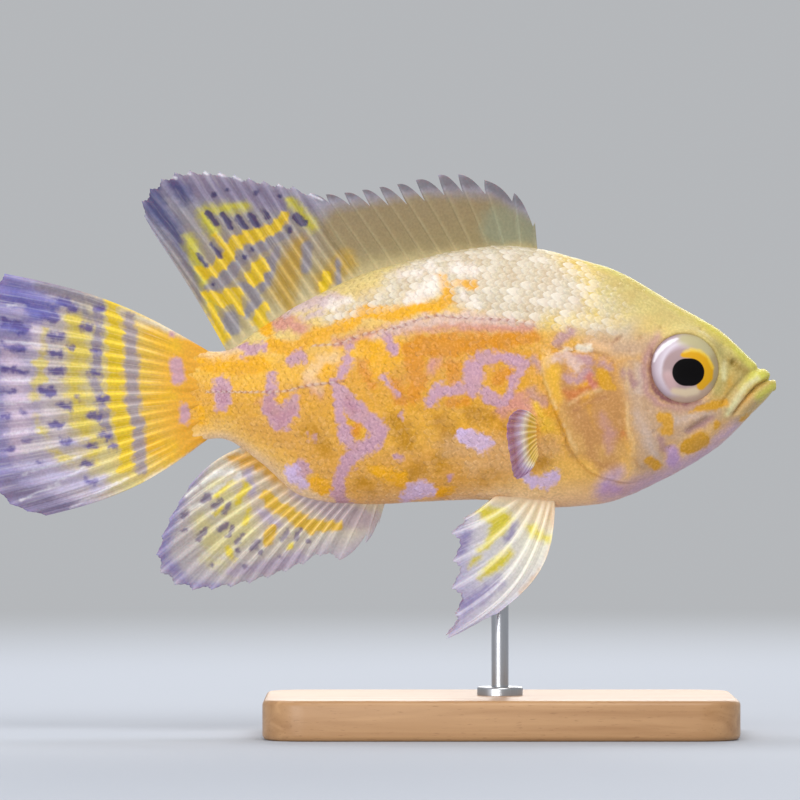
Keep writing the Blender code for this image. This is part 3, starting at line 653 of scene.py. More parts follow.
print("skin")
noseX = bodyForm["stations"][-1][0]
tailX = bodyForm["stations"][0][0]
headSteps = 1 - (1 - np.linspace(0, 1, bodyForm["headRows"])) ** bodyForm["headPacking"]
skinXs = np.concatenate([np.linspace(tailX, bodyForm["headStart"], bodyForm["tailRows"], endpoint=False),
                         bodyForm["headStart"] + headSteps * (noseX - bodyForm["headStart"])])
skinGrid = sectionTable(skinXs, bodyForm["around"], bodyForm["coatDepth"])
skinNormals = gridNormals(skinGrid)
skinPoints = skinGrid.reshape(-1, 3)
x, z = skinPoints[:, 0], skinPoints[:, 2]
relief = headRelief(x, z) * smoothStep(*bodyForm["reliefFrom"], x)
relief += rootRelief(x, z)
relief += faceFill(x)
relief += (bodyForm["fineLumpHeight"] * unevenness(skinPoints, *bodyForm["fineLumps"])
           + bodyForm["broadLumpHeight"] * unevenness(skinPoints, *bodyForm["broadLumps"]))
skinPoints = skinPoints + relief[:, None] * skinNormals.reshape(-1, 3)
skinPoints = seatEyes(skinPoints)
rows, around = len(skinXs), bodyForm["around"]
nose = len(skinPoints)
tail = nose + 1
skinPoints = np.vstack([skinPoints, bodyForm["noseTip"], bodyForm["tailTip"]])
skinFaces = [tuple(face) for face in gridFaces(rows, around, closed=True)]
lastRow = (rows - 1) * around
skinFaces += [(lastRow + c, lastRow + (c + 1) % around, nose) for c in range(around)]
skinFaces += [((c + 1) % around, c, tail) for c in range(around)]
margin = bodyForm["uvMargin"]
skinUv = []
for face in skinFaces:
    # Each corner's place in the grid: past the seam a corner counts on, and a tip lies over its edge
    onRing = [i for i in face if i < nose]
    columns = [i % around for i in onRing]
    atSeam = 0 in columns and around - 1 in columns
    columns = [c + around if atSeam and c == 0 else c for c in columns]
    if len(face) > len(onRing):
        columns.append(sum(columns) / len(columns))
    lengthwise = [rows if i == nose else -1 if i == tail else i // around for i in face]
    skinUv += [(margin + (1 - 2 * margin) * c / around, margin + (1 - 2 * margin) * (r + 1) / (rows + 1))
               for c, r in zip(columns, lengthwise)]


def skinShading(name, look):
    # Living fish skin: pigment in layers under a thin wet film, with painted shade and painted highlights among
    # the layers; on the scales, painted glints on the rims and painted shade at the roots
    material, tree, shader = newMaterial(name, look["shader"])
    drop = addNode(tree, "ShaderNodeAttribute", {"attribute_name": "drop"}).outputs["Fac"]
    place = addNode(tree, "ShaderNodeTexCoord").outputs["Object"]
    grain, fine, cloud = (
        addNode(tree, "ShaderNodeTexNoise", {"Scale": 1 / (look[size] * mm), "Detail": detail},
                {"Vector": place}).outputs["Fac"]
        for size, detail in (("grain", 5.0), ("fineGrain", 2.0), ("cloud", 3.0)))
    colour = pigment(tree, look["ground"], drop, markings, grain)
    speck = addNode(tree, "ShaderNodeMapRange", {
        "From Min": look["specksFrom"][0], "From Max": look["specksFrom"][1], "To Min": 1 - look["speckle"],
        "To Max": 1 + look["speckle"]}, {"Value": fine}).outputs[0]
    colour = addNode(tree, "ShaderNodeVectorMath", {"operation": "SCALE"},
                     {0: colour, "Scale": speck}).outputs[0]
    pale = addNode(tree, "ShaderNodeMapRange", {
        "From Min": look["mottleFrom"][0], "From Max": look["mottleFrom"][1], "To Max": look["mottle"]},
        {"Value": fine}).outputs[0]
    cloudy = addNode(tree, "ShaderNodeMapRange", {
        "From Min": look["cloudFrom"][0], "From Max": look["cloudFrom"][1], "To Max": look["cloudShare"]},
        {"Value": cloud}).outputs[0]
    tints = [(pale, look["mottleColour"]), (cloudy, look["cloudColour"])]
    for field, code in look["scaleColours"].items():
        tints.append((addNode(tree, "ShaderNodeAttribute", {"attribute_name": field}).outputs["Fac"], code))
    for share, code in tints:
        colour = addNode(tree, "ShaderNodeMix", {"data_type": "RGBA", 7: srgb(code)},
                         {0: share, 6: colour}).outputs[2]
    tree.links.new(colour, shader.inputs["Base Color"])
    bump = addNode(tree, "ShaderNodeBump", {"Strength": look["bump"], "Distance": look["bumpDepth"] * mm},
                   {"Height": fine})
    tree.links.new(bump.outputs["Normal"], shader.inputs["Normal"])
    return material


skinLook = {
    "shader": {"Roughness": 0.48, "Specular IOR Level": 0.18, "Coat Weight": 0.07, "Coat Roughness": 0.14,
               "Subsurface Weight": 0.06, "Subsurface Scale": 0.0012, "Subsurface Radius": (1.0, 0.6, 0.35)},
    # Ground from the back down to the belly; its lower stops are lightened as painted light on the shaded
    # underside, over the belly's own paler tone
    "ground": ((0.0, "#E0CC88"), (0.2, "#ECC470"), (0.42, "#DE9C22"), (0.7, "#E4A830"), (0.88, "#EEBC64"),
               (1.0, "#EECEAA")),
    "grain": 0.9, "fineGrain": 0.35, "speckle": 0.09, "specksFrom": (0.34, 0.66),
    "mottle": 0.08, "mottleFrom": (0.52, 0.68), "mottleColour": "#F8E4B4", "bump": 0.25, "bumpDepth": 0.1,
    "cloud": 2.6, "cloudFrom": (0.42, 0.66), "cloudShare": 0.2, "cloudColour": "#C49258", "scaleColours": {},
}
# The scales' colours: scaleTone is each scale's own tone, rim a painted highlight along the free edge, root
# painted shade at the root and between the lateral-line tubes
coatLook = dict(skinLook, speckle=0.13, mottle=0.07, mottleColour="#FFF2D8", bump=0.15,
                scaleColours={"scaleTone": "#FBF0E0", "root": "#A06048", "rim": "#FFF8EA"})
skinMaterial = skinShading("fish_skin", skinLook)  # soft wet skin of the head and fin roots
coatMaterial = skinShading("fish_scales", coatLook)  # thin bony scales, pigment showing through


def dropShare(points):
    # How far down a point lies from the back to the belly
    back, belly = backAt(points[:, 0]), bellyAt(points[:, 0])
    return np.clip((back - points[:, 2]) / (back - belly), 0, 1)


skinFields = {"drop": dropShare(skinPoints)}
rightMarks = markFields(markings, skinPoints, -1)
leftMarks = markFields(markings, skinPoints, 1)
isLeft = smoothStep(-bodyForm["sidesMeet"], bodyForm["sidesMeet"], skinPoints[:, 1])
for name in markings:
    skinFields[name] = rightMarks[name] * (1 - isLeft) + leftMarks[name] * isLeft
skin = meshPiece("fish_skin", skinPoints, skinFaces, skinMaterial, skinUv, skinFields)
finishPiece(skin, "scaled_skin", "head", "upper_jaw", "lower_jaw", "gill_cover_right", "gill_cover_left",
            "trunk", "tail_stem")


print("scales")
scaleForm = {
    "pitch": 1.2, "rowGap": 1.12, "rows": 22, "shrink": 0.4, "tableStep": 0.2, "tableAround": 241,
    "ringSamples": 901, "lastX": -43.6, "firstX": 22.0, "edgeGap": 0.2, "seed": 11,
    "length": 1.95, "halfWidth": 0.74, "across": 7, "along": 6, "rearCurve": 0.42, "narrowing": 0.16,
    "hidden": 0.35,  # the share of a scale's length in front of its root's place
    "uneven": 0.07, "unevenWidth": 0.6, "shift": 0.05,
    "rise": 0.085, "riseAtRoot": 0.12, "risePower": 0.8, "cup": 0.05, "sunk": 0.01, "endDepth": 0.03,
    "lumpHeight": 0.045, "riseOffCream": 0.27, "riseOnCream": 0.75, "creamEdge": 1.2,
    "front": fromPhoto([(668, 200), (655, 300), (626, 330), (596, 346), (566, 349)]), "frontGap": 0.2,
    "rimGap": 0.35, "rimLastX": 8.5, "fadeFrom": 10.0, "fadeTo": 21.0, "fade": 0.75, "clearOfFin": (1.1, 2.6),
    "lateralLines": [fromPhoto([place[:2] for place in line]) for line in markings["lateral"]["strokes"]],
    "tubeRise": 0.10, "tubeWidth": 0.16, "tubeRows": 0.55, "tubeEnds": 0.01, "tubeFrom": 0.4, "tubeTo": 0.98,
    "patch": 0.003, "uvMargin": 0.02,
}
# How pale or dark each scale is over the markings, by its own random tone, a painted highlight on its rim and
# painted shade at its root and between the lateral-line tubes: least, and more where the back is cream
scaleTones = {
    "tone": (0.04, 0.56), "tube": 0.36, "mostTone": 0.85, "rim": (0.02, 0.45), "glintFrom": (0.72, 0.97),
    "glintCorners": 0.3, "root": (0.05, 0.16), "rootShadeTo": (0.25, 0.62), "gap": 0.75, "gapWidth": 0.22,
    "tubeShadeTo": (0.3, 0.45), "evened": 0.14,  # each point takes this share of its marks from its scale's middle
}
tableXs = np.arange(tailX, scaleForm["firstX"] + 2, scaleForm["tableStep"])
flank = np.empty((len(tableXs), scaleForm["tableAround"], 3))
upLength = np.empty(len(tableXs))
downLength = np.empty(len(tableXs))
halfRing = np.linspace(0, math.pi, scaleForm["ringSamples"])
for i, x in enumerate(tableXs):
    way = girthAt(x, halfRing, bodyForm["coatDepth"])
    upLength[i] = np.interp(math.pi / 2, halfRing, way)
    downLength[i] = way[-1] - upLength[i]
    wanted = np.interp(np.linspace(way[-1], 0, scaleForm["tableAround"]), way, halfRing)
    flank[i] = bodySurface(np.full(wanted.shape, x), wanted, bodyForm["coatDepth"])
flankNormals = np.cross(np.gradient(flank, axis=1), np.gradient(flank, axis=0))
flankNormals /= np.linalg.norm(flankNormals, axis=-1, keepdims=True)
if flankNormals[len(tableXs) // 2, scaleForm["tableAround"] // 2, 1] < 0:
    flankNormals = -flankNormals


def girthParts(x):
    # The skin's length from the mid-line up to the back, and down to the belly
    return np.interp(x, tableXs, upLength), np.interp(x, tableXs, downLength)


def onFlank(x, height, side):
    # A point of the flank, height measured along the skin from the fish's mid-line
    justUnder = 1.001  # keeps the last cell's far corner inside the table
    row = np.clip((x - tableXs[0]) / scaleForm["tableStep"], 0, len(tableXs) - justUnder)
    up, down = girthParts(x)
    column = np.clip((height + down) / (up + down), 0, 1) * (scaleForm["tableAround"] - justUnder)
    i, j = row.astype(int), column.astype(int)
    fi, fj = (row - i)[..., None], (column - j)[..., None]
    found = []
    for table in (flank, flankNormals):
        found.append(table[i, j] * (1 - fi) * (1 - fj) + table[i + 1, j] * fi * (1 - fj)
                     + table[i, j + 1] * (1 - fi) * fj + table[i + 1, j + 1] * fi * fj)
    mirror = np.array([1, side, 1])
    return found[0] * mirror, found[1] * mirror


def scaleRoots():
    # Roots of the scales: rows that draw together towards the tail, every second row half a scale on
    roots = []
    form = scaleForm
    girth = upLength + downLength
    size = (girth / girth.max()) ** form["shrink"]
    for row in range(-form["rows"], form["rows"] + 1):
        x = form["firstX"] - (0.5 * form["pitch"] if row % 2 else 0)
        while x > form["lastX"]:
            local = float(np.interp(x, tableXs, size))
            height = row * form["rowGap"] * local
            up, down = girthParts(x)
            if -down + form["edgeGap"] < height < up - form["edgeGap"]:
                roots.append((x, height, local))
            x -= form["pitch"] * local
    return np.array(roots)


def uncovered(roots, side):
    # The roots behind the gill cover's rim, and clear of the pectoral fin, with their places on the flank
    form = scaleForm
    rim = headForm["gillRim"]["line"]
    centre, _ = onFlank(roots[:, 0], roots[:, 1], side)
    x, z = centre[:, 0], centre[:, 2]
    behindRim = (alongLine(rim, x, z)[0] < -form["rimGap"]) & (x < form["rimLastX"])
    behindFront = alongLine(form["front"], x, z)[0] < -form["frontGap"]
    kept = np.where(z > rim[0][1] - form["frontGap"], behindFront, behindRim)
    px, _, pz = pectoralRoot["place"]
    kept &= np.hypot((x - px) / form["clearOfFin"][0], (z - pz) / form["clearOfFin"][1]) > 1
    return roots[kept], centre[kept]


def scaleCoat(side):
    form, tones = scaleForm, scaleTones
    rng = np.random.default_rng(form["seed"] + side)
    roots, centre = uncovered(scaleRoots(), side)
    n = len(roots)
    rootX, rootHeight, local = (roots[:, i][:, None, None] for i in range(3))
    # One scale is a grid: along from root to edge, with one more row turned under, and across it
    lengthwise = np.concatenate([np.linspace(0, 1, form["along"]), [1.0]])
    crosswise = np.linspace(-1, 1, form["across"])
    along, across = (grid[None] for grid in np.meshgrid(lengthwise, crosswise, indexing="ij"))
    turnedUnder = np.arange(len(lengthwise))[None, :, None] == form["along"]
    jitter = rng.normal(0, form["uneven"], (3, n))[:, :, None, None]
    length = form["length"] * local * (1 + jitter[0])
    width = form["halfWidth"] * local * (1 + form["unevenWidth"] * jitter[1])
    back = along * length * (1 - form["rearCurve"] * across ** 2 * along)
    x = rootX + form["hidden"] * length - back
    x = x + form["shift"] * jitter[2]
    height = rootHeight + across * width * (1 - form["narrowing"] * along ** 3)
    points, normals = onFlank(x, height, side)

    tubes, tubeAway, onTube = np.zeros(x.shape), np.full(x.shape, farAway), np.zeros(n, bool)
    for line in form["lateralLines"]:
        away, share = alongLine(line, centre[:, 0], centre[:, 2])
        onLine = np.abs(away) < form["tubeRows"] * form["rowGap"]
        onLine &= (share > form["tubeEnds"]) & (share < 1 - form["tubeEnds"])
        localAway = alongLine(line, points[..., 0], points[..., 2])[0]
        inTube = onLine[:, None, None] * (along > form["tubeFrom"]) * (along < form["tubeTo"])
        tubes += inTube * bell(localAway, form["tubeWidth"])
        tubeAway = np.where(onLine[:, None, None], localAway, tubeAway)
        onTube |= onLine

    frontward = 1 - smoothStep(form["fadeFrom"], form["fadeTo"], x)
    creamAway = strokeDistance(markings["broad"]["strokes"], x, points[..., 2])
    creamy = smoothStep(form["creamEdge"], -form["creamEdge"], creamAway)
    fade = (1 - form["fade"] * (1 - frontward)) * (form["riseOffCream"] + form["riseOnCream"] * creamy)
    rise = form["riseAtRoot"] + (1 - form["riseAtRoot"]) * along ** form["risePower"]
    lift = (form["rise"] * rise - form["cup"] * across ** 2) * fade - form["sunk"]
    lift = lift + form["tubeRise"] * np.clip(tubes, 0, 1)
    lift = np.where(turnedUnder, -form["endDepth"], lift) + faceFill(x)
    lift = lift + rootRelief(points[..., 0], points[..., 2])
    lift = lift + (form["lumpHeight"] * unevenness(centre, *bodyForm["broadLumps"]))[:, None, None]
    points = (points + lift[..., None] * normals).reshape(-1, 3)

    base = gridFaces(len(lengthwise), form["across"])
    if side > 0:
        base = base[:, ::-1]
    perScale = len(lengthwise) * form["across"]
    faces = (base[None] + (np.arange(n) * perScale)[:, None, None]).reshape(-1, 4)
    middle = np.repeat(points.reshape(n, perScale, 3).mean(axis=1), perScale, axis=0)
    fields = markFields(markings, (1 - tones["evened"]) * points + tones["evened"] * middle, side)
    fields["drop"] = dropShare(points)
    pale = smoothStep(form["creamEdge"], -form["creamEdge"], fields["broad"]).reshape(x.shape)
    tone, rim, root = (tones[name][0] + tones[name][1] * pale for name in ("tone", "rim", "root"))
    chance = (rng.uniform(0, 1, n) ** 2)[:, None, None]
    tubePale = tones["tube"] * np.clip(tubes, 0, 1)
    fields["scaleTone"] = np.clip(chance * tone * frontward + tubePale, 0, tones["mostTone"])
    # Painted highlight along each scale's free edge, the glints of the pale back
    rimGlint = smoothStep(*tones["glintFrom"], along) * (1 - tones["glintCorners"] * across ** 2)
    fields["rim"] = np.clip(rim * frontward * rimGlint, 0, 1)
    # Painted shade between the lateral-line tubes and at each scale's root
    tubeGapShade = (onTube[:, None, None] * bell(tubeAway, tones["gapWidth"])
            * (1 - smoothStep(*tones["tubeShadeTo"], along)))
    rootShade = (1 - smoothStep(*tones["rootShadeTo"], along)) * frontward
    fields["root"] = np.clip(root * rootShade + tones["gap"] * tubeGapShade, 0, 1)

    # In the UV map a scale is a small patch at its root's place on the unwrapped flank
    up, down = girthParts(rootX)
    margin, spread = form["uvMargin"], 1 - 2 * form["uvMargin"]
    u = margin + spread * (rootX - form["lastX"]) / (form["firstX"] - form["lastX"])
    v = margin + spread * (rootHeight + down) / (up + down)
    patchAlong = np.linspace(0, 1, len(lengthwise))[None, :, None] * np.ones_like(across)
    patchU = u + form["patch"] * (patchAlong - 0.5)
    patchV = v + form["patch"] * 0.5 * across
    corners = np.stack([patchU.reshape(-1)[faces], patchV.reshape(-1)[faces]], axis=-1)
    name = "scales_right" if side < 0 else "scales_left"
    piece = meshPiece(name, points, faces, coatMaterial, corners, fields)
    print("  scales on one side:", n, "faces:", len(faces))
    finishPiece(piece, "scaled_skin")


for side in (-1, 1):
    scaleCoat(side)


print("fins")
finMarks = {
    "dorsal_fin": {
        "ground": ((0.0, "#D0BE8E"), (0.22, "#B4A272"), (0.75, "#A09AA2"), (1.0, "#B4B2C8")),
        "layers": {
            "khaki": mark(1.4, 0.5, "#9E8C62", (((345, 232, 26), (420, 222, 28), (485, 222, 26)),)),
            "greyGreen": mark(1.2, 0.5, "#969678", (((500, 225, 20), (535, 232, 12)),)),
            "upperMauve": mark(1.2, 0.5, "#8E84A0", (
                ((180, 186, 12), (230, 190, 14), (275, 200, 12), (305, 208, 8)),)),
            "lobeTips": mark(0.7, 0.4, "#7A7880", (
                ((322, 196, 5), (372, 190, 6), (430, 182, 7), (480, 180, 7), (524, 202, 6)),)),
            "rearNavy": mark(1.2, 0.6, "#4E5284", (
                ((150, 186, 13), (154, 206, 13), (174, 230, 8), (188, 258, 4), (203, 296, 3)),
                ((172, 182, 8), (184, 196, 8)))),
            "limeField": mark(0.9, 0.6, "#D4CA30", (
                ((190, 240, 6), (196, 258, 6), (204, 282, 5), (214, 310, 4)), ((204, 216, 6), (214, 232, 6)),
                ((208, 210, 4), (226, 209, 5), (246, 206, 4)), ((292, 202, 5), (312, 226, 5)))),
            "ochre": mark(1.0, 0.6, "#BE9A3C", (
                ((300, 244, 8), (290, 268, 12), (284, 292, 12), (292, 308, 6)),
                ((345, 262, 12), (322, 282, 10)))),
            "grey": mark(0.4, 0.45, "#928C94", (
                ((240, 284, 4), (248, 291, 4)), ((271, 262, 5), (268, 276, 5), (262, 290, 4)),
                ((208, 288, 5), (222, 281, 7), (232, 270, 7), (240, 260, 6), (251, 250, 6), (262, 246, 6),
                 (272, 240, 5), (283, 236, 5)),
                ((230, 318, 8), (233, 328, 7)), ((252, 290, 6), (256, 300, 7), (247, 314, 4)),
                ((267, 282, 5), (272, 262, 4), (276, 250, 5)), ((308, 246, 5), (306, 268, 5)),
                ((338, 262, 3), (338, 292, 3)))),
            "gold": mark(0.3, 0.4, "#EAC400", (
                ((285, 216, 5), (275, 228, 6), (262, 233, 7), (247, 238, 7), (233, 244, 7), (228, 256, 7),
                 (218, 266, 7), (208, 274, 6), (199, 268, 4)),
                ((214, 236, 3), (226, 248, 4)), ((254, 278, 8.5), (260, 267, 9)),
                ((205, 293, 4), (222, 300, 8), (236, 294, 8), (238, 306, 5), (241, 314, 2)),
                ((211, 305, 4), (215, 322, 4), (223, 337, 6)), ((263, 308, 6), (260, 320, 8), (269, 330, 6)),
                ((327, 274, 5), (324, 288, 5))), rayPull=0.2),
            "navySpots": mark(0.22, 0.35, "#46406E", (
                ((208, 213, 3), (216, 224, 3)), ((223, 215, 3), (231, 228, 3)),
                ((237, 217, 3.2), (245, 227, 3.6)), ((250, 216, 3.6), (257, 225, 3.6)),
                ((263, 211, 3), (268, 217, 3)), ((296, 216, 4), (303, 222, 4.4)), ((289, 229, 3.5),),
                ((211, 244, 1.6), (221, 257, 2.6)), ((198, 254, 1.8), (206, 265, 2.4)), ((214, 195, 3),),
                ((252, 250, 2.6),), ((245, 256, 2.8),), ((236, 258, 2.2),), ((256, 192, 3),),
                ((280, 196, 2.4),), ((228, 190, 2.6),), ((214, 284, 2.2),))),
            "whiteTips": mark(0.2, 0.2, "#F2F0FA", (
                ((164, 174, 0.8), (176, 178, 1.4)), ((181, 171, 0.8), (190, 174, 1.4)),
                ((200, 171, 0.8), (208, 174, 1.5)), ((214, 172, 0.8), (226, 176, 1.4)),
                ((233, 176, 0.8), (242, 180, 1.4)), ((248, 177, 0.8), (261, 182, 1.4)),
                ((275, 183, 0.7), (282, 186, 1.0)), ((300, 189, 0.8), (322, 200, 1.0))), share=0.95)}},
    "anal_fin": {
        "ground": ((0.0, "#DCA85A"), (0.12, "#D6C0A0"), (0.5, "#DCD2BA"), (1.0, "#C6BED0")),
        "layers": {
            "mauveFront": mark(1.0, 0.5, "#BBA6AC", (((300, 492, 10), (345, 515, 14), (370, 520, 10)),)),
            "fleshBase": mark(0.6, 0.6, "#DCA024", (
                ((231, 458, 4), (246, 460, 8), (262, 465, 7), (276, 476, 5)),)),
            "edgeBlue": mark(0.9, 0.5, "#9890C4", (
                ((206, 466, 2), (186, 490, 3), (170, 522, 5), (160, 556, 8), (186, 584, 4), (236, 592, 3),
                 (300, 576, 2)),)),
            "creamMiddle": mark(1.2, 0.6, "#E2D898", (
                ((218, 488, 9), (232, 508, 14), (242, 530, 14), (216, 545, 12), (200, 520, 8)),
                ((206, 558, 4), (234, 572, 4)))),
            "lilacBetween": mark(0.6, 0.6, "#BAACC2", (
                ((248, 474, 6), (252, 492, 5)), ((262, 512, 5), (276, 524, 5)),
                ((300, 556, 6), (270, 566, 6), (232, 572, 6)))),
            "whiteRay": mark(0.35, 0.3, "#FBF7EE", (
                ((231, 470, 2.6), (216, 474, 3.4), (203, 483, 2.6)),
                ((240, 474, 2), (224, 486, 3), (208, 494, 2)), ((202, 502, 1.6), (190, 508, 2.2)),
                ((186, 496, 1.6), (196, 488, 1.6))), share=0.95),
            "yellowStreak": mark(0.4, 0.4, "#EED624", (
                ((232, 480, 2.4), (216, 496, 2.6)), ((246, 484, 4.5), (238, 502, 4.5)),
                ((250, 510, 3), (244, 522, 3)), ((226, 548, 4), (232, 558, 4)), ((290, 546, 4),),
                ((216, 514, 3), (222, 508, 3))), rayPull=0.2),
            "goldBar": mark(0.35, 0.5, "#E6B800", (
                ((266, 495, 6.5), (274, 505, 7), (286, 511, 7), (298, 519, 8), (312, 527, 8), (325, 526, 6),
                 (338, 527, 5)),
                ((267, 541, 5.5), (272, 529, 5))), rayPull=0.15),
            "spots": mark(0.26, 0.45, "#6E6086", (
                ((204, 500, 4), (208, 496, 4)), ((215, 506, 3.4), (219, 502, 3.4)),
                ((224, 512, 2.8), (229, 504, 2.8)), ((198, 539, 2.8), (205, 531, 3.2)),
                ((220, 530, 2.6), (226, 524, 2.8)), ((228, 535, 2.8), (232, 528, 2.8)),
                ((237, 544, 3), (242, 536, 3)), ((239, 551, 2.4),), ((253, 549, 3), (258, 541, 3)),
                ((260, 553, 2.6),), ((283, 538, 2.8), (289, 531, 2.8)), ((295, 538, 2.8), (300, 531, 2.6)),
                ((184, 531, 2.6),), ((182, 517, 2), (188, 512, 2)), ((280, 556, 2.6),), ((212, 564, 2.2),),
                ((246, 566, 2.2),), ((308, 541, 2.4),)), share=0.82)}},
    "caudal_fin": {
        "ground": ((0.0, "#EFA624"), (0.16, "#EEAE20"), (0.28, "#ECC038"), (0.5, "#E4D48C"),
                   (0.74, "#C6BACE"), (1.0, "#8E88CC")),
        "layers": {
            "creamTop": mark(0.6, 0.3, "#F0E4C8", (
                ((122, 311, 1.5), (150, 323, 3.5), (175, 331, 4), (215, 343, 4)),)),
            "creamLow": mark(0.4, 0.3, "#EBDCC0", (((205, 444, 1.5), (182, 460, 2), (148, 480, 2)),)),
            "baseGold": mark(0.7, 0.7, "#EEB800", (
                ((150, 334, 7), (174, 345, 9)), ((150, 444, 10), (168, 448, 9)),
                ((152, 402, 5), (170, 394, 6)))),
            "greyBar": mark(0.5, 0.7, "#A598A0", (
                ((128, 316, 6), (132, 360, 7), (132, 395, 7), (138, 430, 7), (141, 470, 6)),)),
            "yellowBar": mark(0.35, 0.7, "#F2CE04", (
                ((112, 305, 6), (115, 350, 8), (114, 395, 8), (124, 430, 8),
                 (126, 468, 7)),), rayPull=0.35),
            "greyBarOuter": mark(0.5, 0.8, "#9D92A4", (
                ((98, 305, 5), (97, 350, 6), (94, 378, 5), (100, 402, 5), (110, 438, 5)),)),
            "paleYellow": mark(1.0, 0.9, "#E6CF4E", (
                ((76, 318, 10), (78, 350, 10), (74, 385, 10), (82, 420, 10), (92, 455, 8)),), rayPull=0.5),
            "yellowColumn": mark(0.6, 0.8, "#E2CE6C", (
                ((42, 330, 6), (40, 378, 7), (32, 398, 5)),
                ((38, 420, 5), (50, 448, 6), (70, 460, 5))), rayPull=0.5),
            "lavenderTop": mark(1.0, 0.6, "#7E7AC0", (((8, 292, 12), (40, 300, 10), (30, 330, 8)),)),
            "pinkOuter": mark(1.2, 0.8, "#DCC8DC", (
                ((8, 350, 9), (16, 384, 12), (20, 424, 13), (16, 452, 9)),
                ((34, 326, 5), (36, 345, 5))), rayPull=0.4),
            "blueTop": mark(0.8, 0.8, "#6A6ABA", (
                ((14, 298, 6), (40, 314, 6), (60, 304, 7)), ((6, 326, 4), (20, 334, 4))), rayPull=0.3),
            "paleLow": mark(1.2, 0.8, "#C4BCDA", (
                ((24, 462, 8), (58, 478, 11), (98, 484, 9)), ((60, 440, 6), (84, 446, 5))), rayPull=0.5),
            "paleMid": mark(1.0, 0.8, "#DCD0D4", (
                ((26, 450, 6), (44, 444, 7), (62, 434, 6)), ((44, 404, 4), (50, 420, 6)),
                ((36, 330, 4), (38, 346, 4))), rayPull=0.4),
            "greyTop": mark(1.0, 0.6, "#928C9C", (
                ((40, 284, 5), (70, 292, 7), (100, 304, 4)), ((76, 302, 5), (88, 316, 5)))),
            "mauveLow": mark(1.0, 0.6, "#8D83A4", (((10, 490, 12), (45, 506, 12), (80, 510, 6)),)),
            "blots": mark(0.4, 0.5, "#CE9EAE", (
                ((176, 364, 7), (178, 378, 7)), ((184, 408, 5), (184, 419, 6)), ((172, 334, 3),))),
            "spots": mark(0.4, 0.6, "#51479A", (
                *(((x - r, y, 0.55 * r), (x + r * 0.6, y + 1, 0.75 * r)) for x, y, r in (
                    (105, 398, 5), (95, 416, 5.5), (100, 308, 4.5), (85, 327, 5), (57, 335, 5.5),
                    (56, 353, 5.5), (58, 370, 6), (48, 390, 6.5), (65, 406, 5.6), (56, 424, 5),
                    (66, 440, 4.6), (88, 463, 4.5), (90, 480, 4), (50, 317, 6), (104, 436, 4),
                    (92, 446, 4), (78, 398, 2.6), (72, 346, 2.6), (28, 440, 3), (40, 462, 3),
                    (24, 412, 3), (96, 350, 3.6), (94, 372, 3.4), (112, 446, 4))),
                ((60, 300, 4), (73, 307, 5)), ((4, 320, 4), (26, 328, 4)), ((2, 346, 3), (24, 350, 3.5)),
                ((2, 368, 3), (26, 372, 3)), ((2, 392, 2), (14, 391, 2.4)), ((2, 418, 2), (10, 417, 2)),
                ((4, 452, 2), (14, 449, 2))), share=0.85),
            "whiteRays": mark(0.25, 0.3, "#F4F2FA", (
                ((22, 475, 0.7), (80, 457, 1.2)), ((45, 489, 0.7), (84, 468, 1.0)),
                ((70, 508, 0.8), (118, 483, 1.3)), ((8, 305, 1), (24, 306, 1)),
                ((6, 341, 0.7), (40, 345, 1.2)), ((4, 434, 0.8), (40, 430, 1.2)),
                ((20, 500, 0.7), (60, 484, 1.0)), ((2, 380, 0.7), (30, 381, 1)),
                ((4, 404, 0.7), (30, 402, 1)), ((90, 500, 0.6), (128, 478, 1))), share=0.6)}},
    "pelvic_fin": {
        "ground": ((0.0, "#D2A468"), (0.12, "#E8CFA4"), (0.3, "#F6F0DC"), (0.7, "#EFEBF4"), (1.0, "#C4BCE4")),
        "layers": {
            "frontBeige": mark(0.5, 0.3, "#DDB48C", (
                ((556, 512, 5), (556, 535, 4), (546, 565, 3), (520, 592, 2)),)),
            "yellow": mark(0.6, 0.5, "#F2E02A", (
                ((484, 512, 8), (502, 520, 11), (492, 538, 6), (480, 550, 4)),
                ((510, 552, 5), (494, 566, 7), (480, 576, 4)), ((532, 530, 6), (546, 538, 5)),
                ((478, 556, 4), (470, 566, 3))), rayPull=0.2),
            "lavender": mark(0.8, 0.5, "#8E82C0", (
                ((498, 582, 3), (480, 596, 4), (464, 606, 4)), ((466, 532, 3), (460, 550, 3)),
                ((514, 524, 2), (508, 538, 3))), share=0.75, rayPull=-0.3)}},
    "pectoral_fin": {
        "ground": ((0.0, "#DCA83C"), (0.34, "#F2CA18"), (0.5, "#FFFBEA"), (0.64, "#CDBAE8"),
                   (0.82, "#A0609C"), (1.0, "#AE7AB2")),
        "layers": {}},
}


